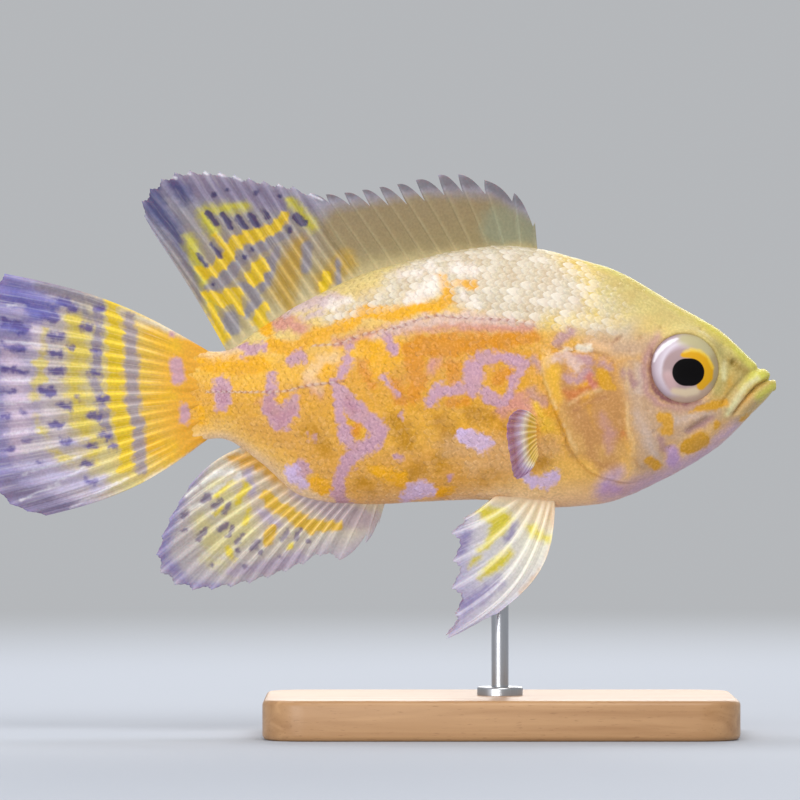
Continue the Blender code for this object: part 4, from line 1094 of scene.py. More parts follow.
def finShading(name, marks, look):
    # Thin fin membrane: clear tissue tinted by pigment, over paler bony rays
    material, tree, shader = newMaterial(name, look["shader"])
    reach, ray, solid, fibrous = (
        addNode(tree, "ShaderNodeAttribute", {"attribute_name": field}).outputs["Fac"]
        for field in ("reach", "ray", "solid", "fibrous"))
    place = addNode(tree, "ShaderNodeTexCoord").outputs["Object"]
    grain, fine = (
        addNode(tree, "ShaderNodeTexNoise", {"Scale": 1 / (look[size] * mm), "Detail": detail},
                {"Vector": place}).outputs["Fac"]
        for size, detail in (("grain", 3.0), ("fineGrain", 2.0)))
    colour = pigment(tree, marks["ground"], reach, marks["layers"], grain, ray)
    speck = addNode(tree, "ShaderNodeMapRange", {
        "From Min": look["specksFrom"][0], "From Max": look["specksFrom"][1], "To Min": 1 - look["speckle"],
        "To Max": 1 + look["speckle"]}, {"Value": fine}).outputs[0]
    shade = addNode(tree, "ShaderNodeMath", {"operation": "MULTIPLY_ADD", 1: look["lift"], 2: look["dim"]},
                    {0: ray}).outputs[0]
    for strength in (speck, shade):
        colour = addNode(tree, "ShaderNodeVectorMath", {"operation": "SCALE"},
                         {0: colour, "Scale": strength}).outputs[0]
    sheet = addNode(tree, "ShaderNodeUVMap", {"uv_map": "OFBake"}).outputs[0]
    fibres = addNode(tree, "ShaderNodeVectorMath", {"operation": "MULTIPLY", 1: look["fibres"]},
                     {0: sheet}).outputs[0]
    streak = addNode(tree, "ShaderNodeTexNoise", {"Scale": 1.0, "Detail": 2.0},
                     {"Vector": fibres}).outputs["Fac"]
    tints = []
    threads = ((look["paleFibres"], look["rayColour"]), (look["darkFibres"], look["shadeColour"]))
    for (low, high), code in threads:
        thread = addNode(tree, "ShaderNodeMapRange", {
            "From Min": low, "From Max": high, "To Max": look["streak"]}, {"Value": streak}).outputs[0]
        thread = addNode(tree, "ShaderNodeMath", {"operation": "MULTIPLY"},
                         {0: thread, 1: fibrous}).outputs[0]
        tints.append((thread, code))
    pale = addNode(tree, "ShaderNodeMath", {"operation": "MULTIPLY", 1: look["rayShare"]},
                   {0: ray}).outputs[0]
    tints.append((pale, look["rayColour"]))
    for share, code in tints:
        colour = addNode(tree, "ShaderNodeMix", {"data_type": "RGBA", 7: srgb(code)},
                         {0: share, 6: colour}).outputs[2]
    tree.links.new(colour, shader.inputs["Base Color"])
    tree.links.new(solid, shader.inputs["Alpha"])
    return material


finLook = {
    "shader": {"Roughness": 0.45, "Specular IOR Level": 0.09, "Coat Weight": 0.02, "Coat Roughness": 0.2,
               "Subsurface Weight": 0.08, "Subsurface Scale": 0.0008},
    "grain": 0.8, "fineGrain": 0.35, "speckle": 0.08, "specksFrom": (0.34, 0.66),
    "dim": 0.6, "lift": 0.5, "rayShare": 0.06, "rayColour": "#FFFBEA", "shadeColour": "#8A7C80",
    "fibres": (240, 5, 0), "streak": 0.16, "paleFibres": (0.52, 0.72), "darkFibres": (0.48, 0.28),
}
finForm = {
    "columns": 14, "rows": 64, "rowPacking": 0.9, "membrane": 0.065,
    "notchAt": 0.15, "notch": 3.3, "notchFall": 3.0, "notchEnds": 0.12,  # between the spines
    "scallop": 0.7, "scallopPower": 1.3, "fringe": 0.25, "fringeCount": 4,  # between the soft rays
    "rayWidth": 0.22, "rayNarrows": 0.45, "rayRise": 0.16, "rayFalls": 0.7,
    "spineRise": 0.3, "spineFalls": 0.75, "broadRay": 0.42,
    "split": 0.17, "splitFrom": (0.3, 0.85), "splitAgain": 0.075, "splitAgainFrom": (0.6, 1.0),
    "jointLength": 0.75, "jointDepth": 0.12, "jointsFrom": (0.25, 0.5),
    "root": 0.55, "rootLength": 1.6, "rootFall": 1, "rootRound": 0, "rootEnds": 0.01,
    "rootUneven": 0, "rootBumps": ((1.0, 2.3, 0.6), (0.6, 5.1, 0.0)), "bare": (0.0, 2.0),
    "edgeFrom": 0.93, "edgeThin": 0.35, "sideFrom": (-0.02, 0.25), "sideThin": 0.4,
    "wave": 0.28, "waveTurn": (1.15, 1.2), "wavePower": 1.6, "slowWave": 0.35, "slowWaveTurn": (0.43, 5),
    "clear": 0.72, "clearFrom": 0.95, "solidTo": 0.1, "raySolid": 0.45, "markSolid": 0.5,
    "rayShown": 0.62, "ridgeShown": 0.5, "ridgeShownTo": 0.2, "spineHides": 0.55, "spineSmooths": 0.9,
    "turned": False, "mirrored": False,
}
# A fin's UV map: its two faces side by side, and the strips that close its edges in the margins
finSheet = {
    "left": 0.01, "width": 0.46, "apart": 0.5, "low": 0.04, "height": 0.9, "stripWidth": 0.96,
    "tipStrip": (0.955, 0.985), "baseStrip": (0.005, 0.03), "firstStrip": (0.975, 0.985),
    "lastStrip": (0.988, 0.998),
}


def closedSheet(rows, columns, u, v):
    # The faces of a thin closed sheet, the near side first, with their UV corners
    sheet = finSheet
    points = np.arange(rows * columns).reshape(rows, columns)
    grid = gridFaces(rows, columns)
    faces, corners = [], []
    for side in (0, 1):
        quads = grid if side == 0 else grid[:, ::-1]
        faces.append(quads + side * points.size)
        corners.append(np.stack([sheet["left"] + sheet["apart"] * side + sheet["width"] * u[quads % columns],
                                 sheet["low"] + sheet["height"] * v[quads // columns]], axis=-1))
    wideU, tallV = sheet["left"] + sheet["stripWidth"] * u, sheet["low"] + sheet["height"] * v
    edges = ((points[-1], wideU, sheet["tipStrip"], False),
             (points[0, ::-1], wideU[::-1], sheet["baseStrip"], False),
             (points[:, 0], tallV, sheet["firstStrip"], True),
             (points[::-1, -1], tallV[::-1], sheet["lastStrip"], True))
    for edge, way, (low, high), upward in edges:
        behind = edge + points.size
        faces.append(np.stack([edge[:-1], edge[1:], behind[1:], behind[:-1]], axis=-1))
        along = np.stack([way[:-1], way[1:], way[1:], way[:-1]], axis=-1)
        across = np.broadcast_to([low, low, high, high], along.shape)
        corners.append(np.stack([across, along] if upward else [along, across], axis=-1))
    return np.concatenate(faces), np.concatenate(corners)


def finPiece(name, node, rays, form, marks, look, place, side=-1):
    # A fin as a thin closed sheet between its rays.
    # Each ray: base x, base z, tip x, tip z, bulge, spine (1) or soft (0)
    rays = np.array(rays, float)
    rayAt = np.linspace(0, len(rays) - 1, (len(rays) - 1) * form["columns"] + 1)
    keyed = np.column_stack([np.arange(len(rays)), rays])
    baseX, baseZ, tipX, tipZ, bulge = (easedColumn(keyed, column, rayAt) for column in range(1, 6))
    base, tip = np.stack([baseX, baseZ], axis=-1), np.stack([tipX, tipZ], axis=-1)
    gap = np.minimum(np.floor(rayAt), len(rays) - 2).astype(int)
    between = rayAt - gap
    away = tip - base
    length = np.linalg.norm(away, axis=-1)

    # The outer edge: deep notches between spines, shallow scallops between soft rays
    spiny = rays[gap, 5] * rays[gap + 1, 5]
    spineCount = rays[:, 5].sum()
    climb = np.clip((between - form["notchAt"]) / (1 - form["notchAt"]), 0, 1)
    notch = np.where(between < form["notchAt"], smoothStep(0, form["notchAt"], between),
                     (1 - climb) ** form["notchFall"])
    deepest = np.clip((rayAt + 1) / (spineCount + 1), form["notchEnds"], 1 - form["notchEnds"])
    notchDepth = form["notch"] * np.sin(math.pi * deepest)
    fringe = form["fringe"] * (0.5 - 0.5 * np.cos(form["fringeCount"] * 2 * math.pi * between))
    scallop = form["scallop"] * (np.abs(np.sin(math.pi * between)) ** form["scallopPower"] + fringe)
    cut = spiny * notch * notchDepth + (1 - spiny) * scallop
    v = np.linspace(0, 1, form["rows"]) ** form["rowPacking"]
    reach = v[:, None] * (1 - cut / length)[None]
    out = reach * length[None]
    across = np.stack([-away[:, 1], away[:, 0]], axis=-1) / length[:, None]
    bow = bulge[None] * np.sin(math.pi * np.clip(reach, 0, 1))
    flat = base[None] + away[None] * reach[..., None] + across[None] * bow[..., None]

    # Rays: a ridge that splits in two and in four on its way out; a spine stays whole
    fromRay = np.minimum(between, 1 - between)[None]
    spine = np.where(between < 0.5, rays[gap, 5], rays[gap + 1, 5])[None]
    gapWidth = np.linalg.norm(np.gradient(flat, axis=1), axis=-1) * form["columns"]
    split = form["split"] * smoothStep(*form["splitFrom"], reach) * (1 - spine)
    splitAgain = form["splitAgain"] * smoothStep(*form["splitAgainFrom"], reach) * (1 - spine)
    ridge = np.zeros(reach.shape)
    for first in (-1, 1):
        for second in (-1, 1):
            apart = (fromRay - first * split - second * splitAgain) * gapWidth
            ridge = np.maximum(ridge, bell(apart, form["rayWidth"] * (1 - form["rayNarrows"] * reach)))
    jointWave = 0.5 + 0.5 * np.cos(out * 2 * math.pi / form["jointLength"])
    joints = 1 - form["jointDepth"] * (1 - spine) * jointWave * smoothStep(*form["jointsFrom"], reach)
    rise = joints * np.where(spine > 0, form["spineRise"] * (1 - form["spineFalls"] * reach),
                             form["rayRise"] * (1 - form["rayFalls"] * reach))

    # Thickness: membrane, rays past the fleshy root, and the root itself; thin at every edge
    bare = smoothStep(*form["bare"], out)
    inside = np.clip(rayAt / rayAt[-1], form["rootEnds"], 1 - form["rootEnds"])
    bumps = sum(size * np.sin(turn * rayAt + start) for size, turn, start in form["rootBumps"])
    rootShape = np.sin(math.pi * inside) ** form["rootRound"] * (1 + form["rootUneven"] * bumps)
    flesh = form["root"] * rootShape[None] * np.exp(-(out / form["rootLength"]) ** form["rootFall"])
    half = form["membrane"] + rise * ridge * bare + flesh
    half = half * (form["edgeThin"] + (1 - form["edgeThin"]) * smoothStep(1, form["edgeFrom"], v)[:, None])
    fromSide = np.minimum(rayAt, len(rays) - 1 - rayAt)[None]
    half = half * (form["sideThin"] + (1 - form["sideThin"]) * smoothStep(*form["sideFrom"], fromSide))
    wave = np.sin(rayAt[None] * form["waveTurn"][0] + form["waveTurn"][1]) * reach ** form["wavePower"]
    slowTurn, slowClimb = form["slowWaveTurn"]
    wave = wave + form["slowWave"] * np.sin(rayAt[None] * slowTurn + slowClimb * reach) * reach
    wave = wave * form["wave"] * bare
    points = np.concatenate([
        np.stack([flat[..., 0], wave + face * half, flat[..., 1]], axis=-1).reshape(-1, 3)
        for face in (-1, 1)])
    faces, corners = closedSheet(form["rows"], len(rayAt), rayAt / rayAt[-1], v)
    if form["turned"] != (side > 0 and form["mirrored"]):
        faces, corners = faces[:, ::-1], corners[:, ::-1]

    # Where the tissue is clear, and where the rays and their fibres show
    fields = markFields(marks["layers"], points, side)
    solid = 1 - (1 - form["clear"]) * smoothStep(form["solidTo"], form["clearFrom"], reach)
    solid = np.clip(solid + form["raySolid"] * ridge * (1 - solid), 0, 1)
    broad = form["rayShown"] * bell(fromRay * gapWidth, form["broadRay"])
    narrow = form["ridgeShown"] * ridge * smoothStep(1, form["ridgeShownTo"], reach)
    shown = 0.5 + bare * (1 - form["spineHides"] * spine) * (np.clip(broad + narrow, 0, 1) - 0.5)
    fibrous = bare * (1 - form["spineSmooths"] * spine)
    for key, value in (("reach", reach), ("ray", shown), ("solid", solid), ("fibrous", fibrous)):
        fields[key] = np.concatenate([value.reshape(-1)] * 2)
    for key, layer in marks["layers"].items():
        inside = smoothStep(layer["soft"], -layer["soft"], fields[key])
        fields["solid"] = fields["solid"] + form["markSolid"] * inside * (1 - fields["solid"])
    piece = meshPiece(name, place(points, side), faces, finShading(name, marks, look), corners, fields)
    finishPiece(piece, "fin_membrane", node)


def upright(points, side):
    return points


def overBack(x, depth, tipX, tipZ, bulge, spine):
    # A ray of the dorsal fin, its base sunk into the back
    return x, float(backAt(x)) - depth, tipX, tipZ, bulge, spine


def underBelly(x, depth, tipX, tipZ, bulge, spine):
    return x, float(bellyAt(x)) + depth, tipX, tipZ, bulge, spine


dorsalForm = {
    "spineTips": ((4.9, 71.8), (2.0, 75.9), (-2.2, 77.7), (-5.9, 78.5), (-8.7, 78.4), (-11.8, 77.7),
                  (-14.4, 77.1), (-16.9, 76.7), (-19.3, 76.3), (-21.8, 75.9), (-24.4, 75.7), (-26.6, 75.9)),
    "softEdge": ((-29.0, 76.9), (-34.5, 77.9), (-40.2, 79.0), (-46.2, 78.6), (-50.2, 74.8), (-48.9, 70.9)),
    "softCount": 14, "spineFrom": 5.3, "spineStep": 2.18, "softFrom": -20.0, "softStep": 1.38,
    "spineSunk": 1.1, "softSunk": 1.0, "bulge": (0.35, -0.05),
}
dorsalRays = []
for i, (x, z) in enumerate(dorsalForm["spineTips"]):
    base = dorsalForm["spineFrom"] - dorsalForm["spineStep"] * i
    dorsalRays.append(overBack(base, dorsalForm["spineSunk"], x, z, 0.0, 1))
softTips = evenly(throughPoints(dorsalForm["softEdge"]), dorsalForm["softCount"])
for i, (x, z) in enumerate(softTips):
    base = dorsalForm["softFrom"] - dorsalForm["softStep"] * i
    bulge = dorsalForm["bulge"][0] + dorsalForm["bulge"][1] * i
    dorsalRays.append(overBack(base, dorsalForm["softSunk"], x, z, bulge, 0))
finPiece("dorsal_rays", "dorsal_fin", dorsalRays, finForm, finMarks["dorsal_fin"],
         dict(finLook, dim=0.68, lift=0.4, streak=0.1), upright)

analForm = {
    "spines": ((-15.9, -17.0, 29.4), (-17.0, -18.8, 26.9), (-18.3, -22.5, 24.5)),  # base x, tip x, tip z
    "softEdge": ((-25.2, 25.0), (-30.0, 22.8), (-36.0, 21.0), (-42.6, 20.2), (-46.6, 21.6), (-48.2, 24.6),
                 (-46.6, 29.8), (-43.6, 34.8)),
    "softCount": 15, "softFrom": -19.6, "softStep": 1.14, "sunk": 1.0, "bulge": (-0.3, -0.03),
}
analRays = [underBelly(base, analForm["sunk"], x, z, 0.0, 1) for base, x, z in analForm["spines"]]
analTips = evenly(throughPoints(analForm["softEdge"]), analForm["softCount"])
for i, (x, z) in enumerate(analTips):
    base = analForm["softFrom"] - analForm["softStep"] * i
    bulge = analForm["bulge"][0] + analForm["bulge"][1] * i
    analRays.append(underBelly(base, analForm["sunk"], x, z, bulge, 0))
finPiece("anal_rays", "anal_fin", analRays, dict(finForm, notch=1.6, turned=True), finMarks["anal_fin"],
         dict(finLook, rayShare=0.12, dim=0.65, lift=0.46), upright)

caudalForm = {
    "edge": ((-69.4, 64.6), (-71.6, 61.6), (-73.0, 56.0), (-73.5, 49.0), (-73.1, 42.0), (-71.4, 35.8),
             (-68.4, 32.2), (-63.6, 30.7)),
    "count": 16, "baseX": -40.4, "baseTop": 53.5, "baseHeight": 11.7, "bulge": -1.7,
}
caudalRays = []
for i, (x, z) in enumerate(evenly(throughPoints(caudalForm["edge"]), caudalForm["count"])):
    share = i / (caudalForm["count"] - 1)
    caudalRays.append((caudalForm["baseX"], caudalForm["baseTop"] - caudalForm["baseHeight"] * share, x, z,
                       caudalForm["bulge"] * (1 - 2 * share), 0))
finPiece("caudal_rays", "caudal_fin", caudalRays,
         dict(finForm, columns=18, rows=92, rayWidth=0.26, broadRay=0.62, rayRise=0.2, scallop=0.35,
              rootLength=5.2, root=0.86, rootFall=3, rootRound=0.5, rootUneven=0.14, turned=True, wave=0.45,
              clear=0.85, bare=(3.6, 10.0)),
         finMarks["caudal_fin"], finLook, upright)

pelvicForm = {"hingeZ": 32.5, "hingeY": 2.6, "splay": math.radians(13.5)}


def splayed(points, side):
    # The pelvic fins hang from the belly and lean outwards
    splay = pelvicForm["splay"]
    down = pelvicForm["hingeZ"] - points[:, 2]
    y = side * (pelvicForm["hingeY"] + down * math.tan(splay)) + points[:, 1] * math.cos(splay)
    z = points[:, 2] + side * points[:, 1] * math.sin(splay)
    return np.stack([points[:, 0], y, z], axis=-1)


pelvicRays = ((7.7, 33.2, -0.6, 17.1, 2.7, 1), (7.1, 33.2, -7.6, 13.7, 3.2, 0),
              (6.3, 33.2, -6.3, 16.9, 2.3, 0), (5.4, 33.2, -6.8, 20.6, 1.6, 0),
              (4.4, 33.2, -6.6, 24.4, 1.0, 0), (2.9, 33.2, -6.8, 28.3, 0.5, 0),
              (-0.8, 33.4, -5.2, 30.2, 0.2, 0))
for side, label in ((-1, "right"), (1, "left")):
    finPiece(f"pelvic_rays_{label}", f"pelvic_fin_{label}", pelvicRays,
             dict(finForm, columns=22, rows=72, notch=0.0, scallop=1.2, rayRise=0.24, rayWidth=0.3,
                  broadRay=0.4, wave=0.2, rootLength=1.2),
             finMarks["pelvic_fin"], dict(finLook, rayShare=0.5, dim=0.74, lift=0.46), splayed, side)

pectoralForm = {
    "edge": ((9.2, 3.7), (12.4, 2.7), (14.2, -0.4), (13.4, -3.9), (10.2, -5.9), (5.0, -5.0)),  # out, up
    "count": 13, "baseOut": -0.9, "baseTop": 2.1, "baseStep": 0.36, "bulge": (0.5, -0.09),
    "sweep": math.radians(13), "cup": 0.035, "cupPower": 1.3, "cupUpwards": 0.05,
}


def sweptOut(points, side):
    # The pectoral fin stands out from the flank, swept back and cupped a little
    form = pectoralForm
    rootX, rootY, rootZ = pectoralRoot["place"]
    out, up = points[:, 0], points[:, 2]
    cup = form["cup"] * np.maximum(out, 0) ** form["cupPower"] * (1 + form["cupUpwards"] * up)
    thick = points[:, 1] - cup
    x = rootX - out * math.sin(form["sweep"]) + thick * math.cos(form["sweep"])
    y = side * (rootY + out * math.cos(form["sweep"]) + thick * math.sin(form["sweep"]))
    return np.stack([x, y, rootZ + up], axis=-1)


pectoralRays = []
for i, (x, z) in enumerate(evenly(throughPoints(pectoralForm["edge"]), pectoralForm["count"])):
    baseUp = pectoralForm["baseTop"] - pectoralForm["baseStep"] * i
    bulge = pectoralForm["bulge"][0] + pectoralForm["bulge"][1] * i
    pectoralRays.append((pectoralForm["baseOut"], baseUp, x, z, bulge, 0))
for side, label in ((-1, "right"), (1, "left")):
    finPiece(f"pectoral_rays_{label}", f"pectoral_fin_{label}", pectoralRays,
             dict(finForm, columns=12, rows=52, scallop=0.3, rayRise=0.12, rayWidth=0.16, broadRay=0.25,
                  wave=0.15, rootLength=1.4, root=0.5, clear=0.5, clearFrom=0.6, mirrored=True, turned=True),
             finMarks["pectoral_fin"], dict(finLook, rayShare=0.3, dim=0.85), sweptOut, side)


print("eyes")
eyeMarks = {
    "iris": {"soft": 0.3, "colour": "#AA9090", "strokes": (((685, 371, 23),),)},
    "pinkSheen": {"soft": 0.5, "colour": "#C6A4A4", "strokes": (((668, 376, 5), (672, 386, 5)),)},
    "olive": {"soft": 0.7, "colour": "#AA986C", "strokes": (
        ((692, 339, 6), (704, 344, 8), (711, 355, 8), (714, 372, 6), (711, 389, 8), (702, 399, 7)),)},
    "topTan": {"soft": 0.7, "colour": "#BEB48C", "strokes": (((684, 339, 6), (698, 342, 8), (707, 350, 7)),)},
    "lowSkin": {"soft": 0.7, "colour": "#BFA28E", "strokes": (
        ((670, 400, 3), (682, 400, 7), (696, 398, 8), (706, 391, 7)),)},
    "beige": {"soft": 0.35, "colour": "#D9C4A4", "strokes": (((674, 391, 3), (686, 393, 4), (696, 391, 4)),)},
    "gold": {"soft": 0.16, "colour": "#DCA200", "strokes": (
        ((683, 355, 2.5), (693, 354.5, 4.4), (702, 358.5, 5.6), (707.5, 367, 6), (707, 377, 6),
         (701, 385.5, 4.5)),)},
    "goldRim": {"soft": 0.3, "colour": "#F2D050", "strokes": (
        ((684, 352, 0.8), (691, 349.5, 1.5), (700, 351, 1.3), (708, 357, 0.8), (713, 368, 0.6)),)},
    # Painted highlight: a white gleam on the ring's upper left
    "paintedHighlight": {"soft": 0.16, "colour": "#F4EEF4", "strokes": (
        ((654, 362, 0.6), (657, 354, 1.8), (663, 347, 2.4), (671, 341.5, 2.0), (678, 338.5, 0.8)),)},
    # Painted shade in the crease where the ball meets the skin, darkest at the lower left
    "creaseShade": {"soft": 0.3, "colour": "#8A6070", "strokes": (
        ((651.5, 347, 0.3), (649, 360, 1.1), (648.6, 374, 1.5), (651, 387, 2.0), (657, 397, 2.6),
         (667, 403.5, 1.5), (684, 405, 0.8)),)},
    "pupil": {"soft": 0.07, "colour": "#060405", "strokes": (((686, 372.2, 13.8), (690.6, 372.2, 13.8)),)},
}


def eyeShading():
    # The eye as it shows through its cornea: iris and black pupil under a thin smooth coat, with a painted
    # highlight on the ring and painted shade in the crease at its edge
    look = eyeLook
    material, tree, shader = newMaterial("eye_cornea", look["shader"])
    place = addNode(tree, "ShaderNodeTexCoord").outputs["Object"]
    grain = addNode(tree, "ShaderNodeTexNoise", {"Scale": 1 / (look["grain"] * mm), "Detail": 2.0},
                    {"Vector": place}).outputs["Fac"]
    radius = addNode(tree, "ShaderNodeAttribute", {"attribute_name": "ring"}).outputs["Fac"]
    layers = {name: dict(layer, wobble=look["wobble"], share=look["share"])
              for name, layer in eyeMarks.items()}
    layers["pupil"].update(wobble=0.0, share=1.0)
    colour = pigment(tree, look["ground"], radius, layers, grain)
    tree.links.new(colour, shader.inputs["Base Color"])
    return material


eyeLook = {
    "shader": {"Roughness": 0.3, "Specular IOR Level": 0.08, "Coat Weight": 0.08, "Coat Roughness": 0.05},
    # Ground by distance out from the eye's middle: a pale ring, then darker towards the outer edge as painted
    # shade where the ball meets the socket
    "ground": ((0.0, "#C0ABB5"), (0.62, "#BDA7B1"), (0.72, "#D8CCD6"), (0.88, "#C4B3BD"), (0.96, "#B09CA4"),
               (1.0, "#A08488")),
    "grain": 0.5, "wobble": 0.06, "share": 0.95,
}
eyeMaterial = eyeShading()
for side, label in ((-1, "right"), (1, "left")):
    bpy.ops.object.select_all(action="DESELECT")
    bpy.ops.mesh.primitive_uv_sphere_add(segments=eyeForm["segments"], ring_count=eyeForm["rings"],
                                         radius=eyeForm["radius"] * mm)
    ball = bpy.context.object
    ball.name = f"eyeball_{label}"
    out, across, up = eyeAxes(side)
    local = np.array([v.co for v in ball.data.vertices]) / mm
    ring = np.hypot(local[:, 0], local[:, 1]) / eyeForm["ringRadius"]
    flatter = eyeForm["halfDepth"] / eyeForm["radius"]
    turned = (eyeCentre(side) + local[:, :1] * across + local[:, 1:2] * up * -side
              + local[:, 2:] * out * flatter)
    ball.data.vertices.foreach_set("co", (turned * mm).ravel())
    fields = {name: np.clip(strokeDistance(layer["strokes"], *asSeen(turned)), *markForm["kept"])
              for name, layer in eyeMarks.items()}
    fields["ring"] = ring
    for name, values in fields.items():
        attribute = ball.data.attributes.new(name, "FLOAT", "POINT")
        attribute.data.foreach_set("value", values.astype(np.float32))
    ball.data.uv_layers[0].name = "OFBake"
    ball.data.materials.append(eyeMaterial)
    bpy.ops.object.shade_smooth()
    finishPiece(ball, "eye", f"eye_{label}")


print("stand")
standForm = {
    "cornerRadius": 6.0, "cornerSteps": 14, "edgeRadius": 0.8, "edgeSteps": 5,
    "rodRadius": 1.2, "rodSides": 64, "collarRadius": 3.2, "collarSides": 96, "collarBevel": 0.35,
    "collarHeight": 1.6, "level": 0.001,  # points this close in height count as level
    "sharpFrom": math.radians(35), "unfoldFrom": math.radians(60), "uvGap": 0.01,
}
baseLow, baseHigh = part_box("stand_base")
rodLow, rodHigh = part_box("stand_rod")


def beech():
    # Oiled beech: warm pale wood with fine flecks along the grain
    look = beechLook
    material, tree, shader = newMaterial("oiled_beech", look["shader"])
    place = addNode(tree, "ShaderNodeTexCoord").outputs["Object"]
    grain, fleck = (
        addNode(tree, "ShaderNodeTexNoise", {"Scale": 1.0, "Detail": detail, "Distortion": distortion}, {
            "Vector": addNode(tree, "ShaderNodeMapping", {"Scale": [1 / (step * mm) for step in look[name]]},
                              {"Vector": place}).outputs[0]}).outputs["Fac"]
        for name, detail, distortion in (("grain", 5.0, 0.8), ("flecks", 2.0, 0.0)))
    wood = addNode(tree, "ShaderNodeMapRange", {
        "From Min": look["grainFrom"][0], "From Max": look["grainFrom"][1]}, {"Value": grain}).outputs[0]
    spots = addNode(tree, "ShaderNodeMapRange", {
        "From Min": look["flecksFrom"][0], "From Max": look["flecksFrom"][1], "To Max": look["fleckShare"]},
        {"Value": fleck}).outputs[0]
    colour = addNode(tree, "ShaderNodeMix", {
        "data_type": "RGBA", 6: srgb(look["dark"]), 7: srgb(look["pale"])}, {0: wood}).outputs[2]
    colour = addNode(tree, "ShaderNodeMix", {"data_type": "RGBA", 7: srgb(look["fleck"])},
                     {0: spots, 6: colour}).outputs[2]
    tree.links.new(colour, shader.inputs["Base Color"])
    bump = addNode(tree, "ShaderNodeBump", {"Strength": look["bump"], "Distance": look["bumpDepth"] * mm},
                   {"Height": grain})
    tree.links.new(bump.outputs["Normal"], shader.inputs["Normal"])
    return material


beechLook = {
    "shader": {"Roughness": 0.42, "Coat Weight": 0.15, "Coat Roughness": 0.25},
    "grain": (40, 2.2, 2.2), "grainFrom": (0.3, 0.7), "dark": "#A97C50", "pale": "#C69A6C",
    "flecks": (1.6, 0.25, 0.25), "flecksFrom": (0.62, 0.72), "fleckShare": 0.45, "fleck": "#8A5F3A",
    "bump": 0.15, "bumpDepth": 0.1,
}
steelLook = {
    "shader": {"Metallic": 1.0, "Roughness": 0.3},
    "lines": (0.1, 0.1, 3), "dark": "#A9ABAF", "pale": "#C6C8CB",
}


def satinSteel():
    # Brushed stainless steel: even, soft reflections
    look = steelLook
    material, tree, shader = newMaterial("satin_steel", look["shader"])
    place = addNode(tree, "ShaderNodeTexCoord").outputs["Object"]
    lines = addNode(tree, "ShaderNodeMapping", {"Scale": [1 / (step * mm) for step in look["lines"]]},
                    {"Vector": place}).outputs[0]
    brushed = addNode(tree, "ShaderNodeTexNoise", {"Scale": 1.0, "Detail": 2.0},
                      {"Vector": lines}).outputs["Fac"]
    colour = addNode(tree, "ShaderNodeMix", {
        "data_type": "RGBA", 6: srgb(look["dark"]), 7: srgb(look["pale"])}, {0: brushed}).outputs[2]
    tree.links.new(colour, shader.inputs["Base Color"])
    return material


def bevelEdges(chosen, width, segments):
    bpy.ops.object.mode_set(mode="EDIT")
    bpy.ops.mesh.select_mode(type="EDGE")
    bpy.ops.mesh.select_all(action="DESELECT")
    bpy.ops.object.mode_set(mode="OBJECT")
    mesh = bpy.context.object.data
    for edge in mesh.edges:
        a, b = (mesh.vertices[i].co for i in edge.vertices)
        edge.select = chosen(a, b)
    bpy.ops.object.mode_set(mode="EDIT")
    bpy.ops.mesh.bevel(offset=width * mm, segments=segments, profile=0.5, affect="EDGES", clamp_overlap=True)
    bpy.ops.object.mode_set(mode="OBJECT")


def finishStand(name, material, slot, node):
    piece = bpy.context.object
    piece.name = name
    bpy.ops.object.mode_set(mode="EDIT")
    bpy.ops.mesh.select_all(action="SELECT")
    bpy.ops.uv.smart_project(angle_limit=standForm["unfoldFrom"], island_margin=standForm["uvGap"])
    bpy.ops.object.mode_set(mode="OBJECT")
    piece.data.uv_layers[0].name = "OFBake"
    piece.data.materials.clear()
    piece.data.materials.append(material)
    bpy.ops.object.shade_smooth_by_angle(angle=standForm["sharpFrom"])
    bpy.ops.object.transform_apply(location=True, rotation=True, scale=True)
    finishPiece(piece, slot, node)


level = standForm["level"] * mm
bpy.ops.object.select_all(action="DESELECT")
bpy.ops.mesh.primitive_cube_add(size=1, location=(baseLow + baseHigh) / 2)
bpy.context.object.scale = baseHigh - baseLow
bpy.ops.object.transform_apply(location=True, rotation=True, scale=True)
bevelEdges(lambda a, b: abs(a.z - b.z) > mm, standForm["cornerRadius"], standForm["cornerSteps"])
bevelEdges(lambda a, b: abs(a.z - b.z) < level and (a.z > baseHigh.z - level or a.z < baseLow.z + level),
           standForm["edgeRadius"], standForm["edgeSteps"])
finishStand("stand_board", beech(), "base_wood", "stand_base")

rodMiddle = (rodLow + rodHigh) / 2
bpy.ops.object.select_all(action="DESELECT")
bpy.ops.mesh.primitive_cylinder_add(vertices=standForm["rodSides"], radius=standForm["rodRadius"] * mm,
                                    depth=rodHigh.z - rodLow.z, location=rodMiddle)
rodTube = bpy.context.object
bpy.ops.object.transform_apply(location=True, rotation=True, scale=True)
collarTop = rodLow.z + standForm["collarHeight"] * mm
bpy.ops.object.select_all(action="DESELECT")
bpy.ops.mesh.primitive_cylinder_add(vertices=standForm["collarSides"], radius=standForm["collarRadius"] * mm,
                                    depth=collarTop - rodLow.z,
                                    location=(rodMiddle.x, rodMiddle.y, (collarTop + rodLow.z) / 2))
bpy.ops.object.transform_apply(location=True, rotation=True, scale=True)
bevelEdges(lambda a, b: abs(a.z - b.z) < level and a.z > collarTop - level, standForm["collarBevel"],
           standForm["edgeSteps"])
rodTube.select_set(True)
bpy.ops.object.join()
finishStand("stand_upright", satinSteel(), "rod_metal", "stand_rod")


print("setting")
roomForm = {
    "colour": "#EEF1F5", "strength": 0.54, "floorColour": "#B4B9C2", "floorRadius": 4.0, "paperTo": 0.22,
    "roomFrom": 0.62, "floorSides": 128,
}


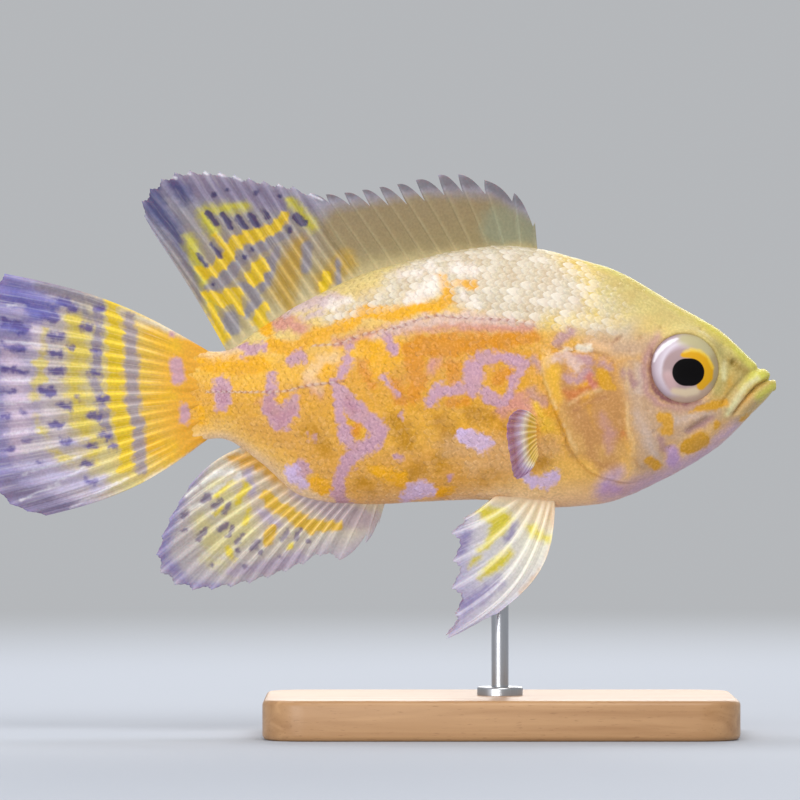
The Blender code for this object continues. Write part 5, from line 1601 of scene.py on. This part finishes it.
def floorPaper():
    # Matt paper round the stand, which passes into the room's own even tone further out
    material, tree, shader = newMaterial("matt_paper", {
        "Roughness": 0.9, "Base Color": srgb(roomForm["floorColour"])})
    place = addNode(tree, "ShaderNodeTexCoord").outputs["Object"]
    away = addNode(tree, "ShaderNodeVectorMath", {"operation": "LENGTH"}, {0: place}).outputs["Value"]
    share = addNode(tree, "ShaderNodeMapRange", {
        "interpolation_type": "SMOOTHSTEP", "From Min": roomForm["paperTo"],
        "From Max": roomForm["roomFrom"]}, {"Value": away}).outputs[0]
    glow = addNode(tree, "ShaderNodeEmission", {
        "Color": srgb(roomForm["colour"]), "Strength": roomForm["strength"]})
    joined = addNode(tree, "ShaderNodeMixShader", links={0: share, 1: shader.outputs[0], 2: glow.outputs[0]})
    tree.links.new(joined.outputs[0], tree.nodes["Material Output"].inputs["Surface"])
    return material


bpy.ops.object.select_all(action="DESELECT")
bpy.ops.mesh.primitive_circle_add(vertices=roomForm["floorSides"], radius=roomForm["floorRadius"],
                                  fill_type="NGON")
floor = bpy.context.object
floor.name = "floor"
floor.data.materials.append(floorPaper())

# Soft boxes: place, width and height, power, colour
fishMiddle = (-0.014, 0.0, 0.048)
softboxes = {
    "key_light": ((0.12, -0.45, 0.62), (0.5, 0.35), 2.5, (1.0, 0.98, 0.95)),
    "front_light": ((-0.34, -0.85, 0.11), (0.6, 0.2), 2.6, (1.0, 0.99, 0.98)),
    "fill_light": ((-0.5, -0.55, 0.22), (0.6, 0.6), 0.7, (0.9, 0.93, 1.0)),
    "back_light": ((-0.15, 0.2, 0.5), (0.4, 0.2), 1.2, (0.95, 0.96, 1.0)),
    "far_light": ((0.1, 0.75, 0.35), (0.6, 0.4), 2.6, (1.0, 0.98, 0.95)),
}
for name, (place, size, power, colour) in softboxes.items():
    lamp = bpy.data.lights.new(name, "AREA")
    lamp.shape, lamp.size, lamp.size_y, lamp.energy, lamp.color = "RECTANGLE", *size, power, colour
    holder = bpy.data.objects.new(name, lamp)
    holder.location = place
    holder.rotation_euler = (Vector(fishMiddle) - Vector(place)).to_track_quat("-Z", "Y").to_euler()
    bpy.context.scene.collection.objects.link(holder)

world = bpy.data.worlds.new("soft_room")
bpy.context.scene.world = world
world.use_nodes = True
world.node_tree.nodes["Background"].inputs["Color"].default_value = srgb(roomForm["colour"])
world.node_tree.nodes["Background"].inputs["Strength"].default_value = roomForm["strength"]
bpy.context.scene.view_settings.view_transform = "Standard"

cameraForm = {"place": (photo["cameraX"] * mm, -photo["cameraAway"] * mm, photo["cameraZ"] * mm),
              "frameWidth": 0.112, "sensor": 36.0, "near": 0.05, "far": 10.0}
camera = bpy.data.cameras.new("photo_view")
camera.sensor_width = cameraForm["sensor"]
camera.lens = cameraForm["sensor"] * -cameraForm["place"][1] / cameraForm["frameWidth"]
camera.clip_start, camera.clip_end = cameraForm["near"], cameraForm["far"]
cameraHolder = bpy.data.objects.new("photo_view", camera)
cameraHolder.location = cameraForm["place"]
cameraHolder.rotation_euler = (math.pi / 2, 0, 0)
bpy.context.scene.collection.objects.link(cameraHolder)
bpy.context.scene.camera = cameraHolder

print("done")
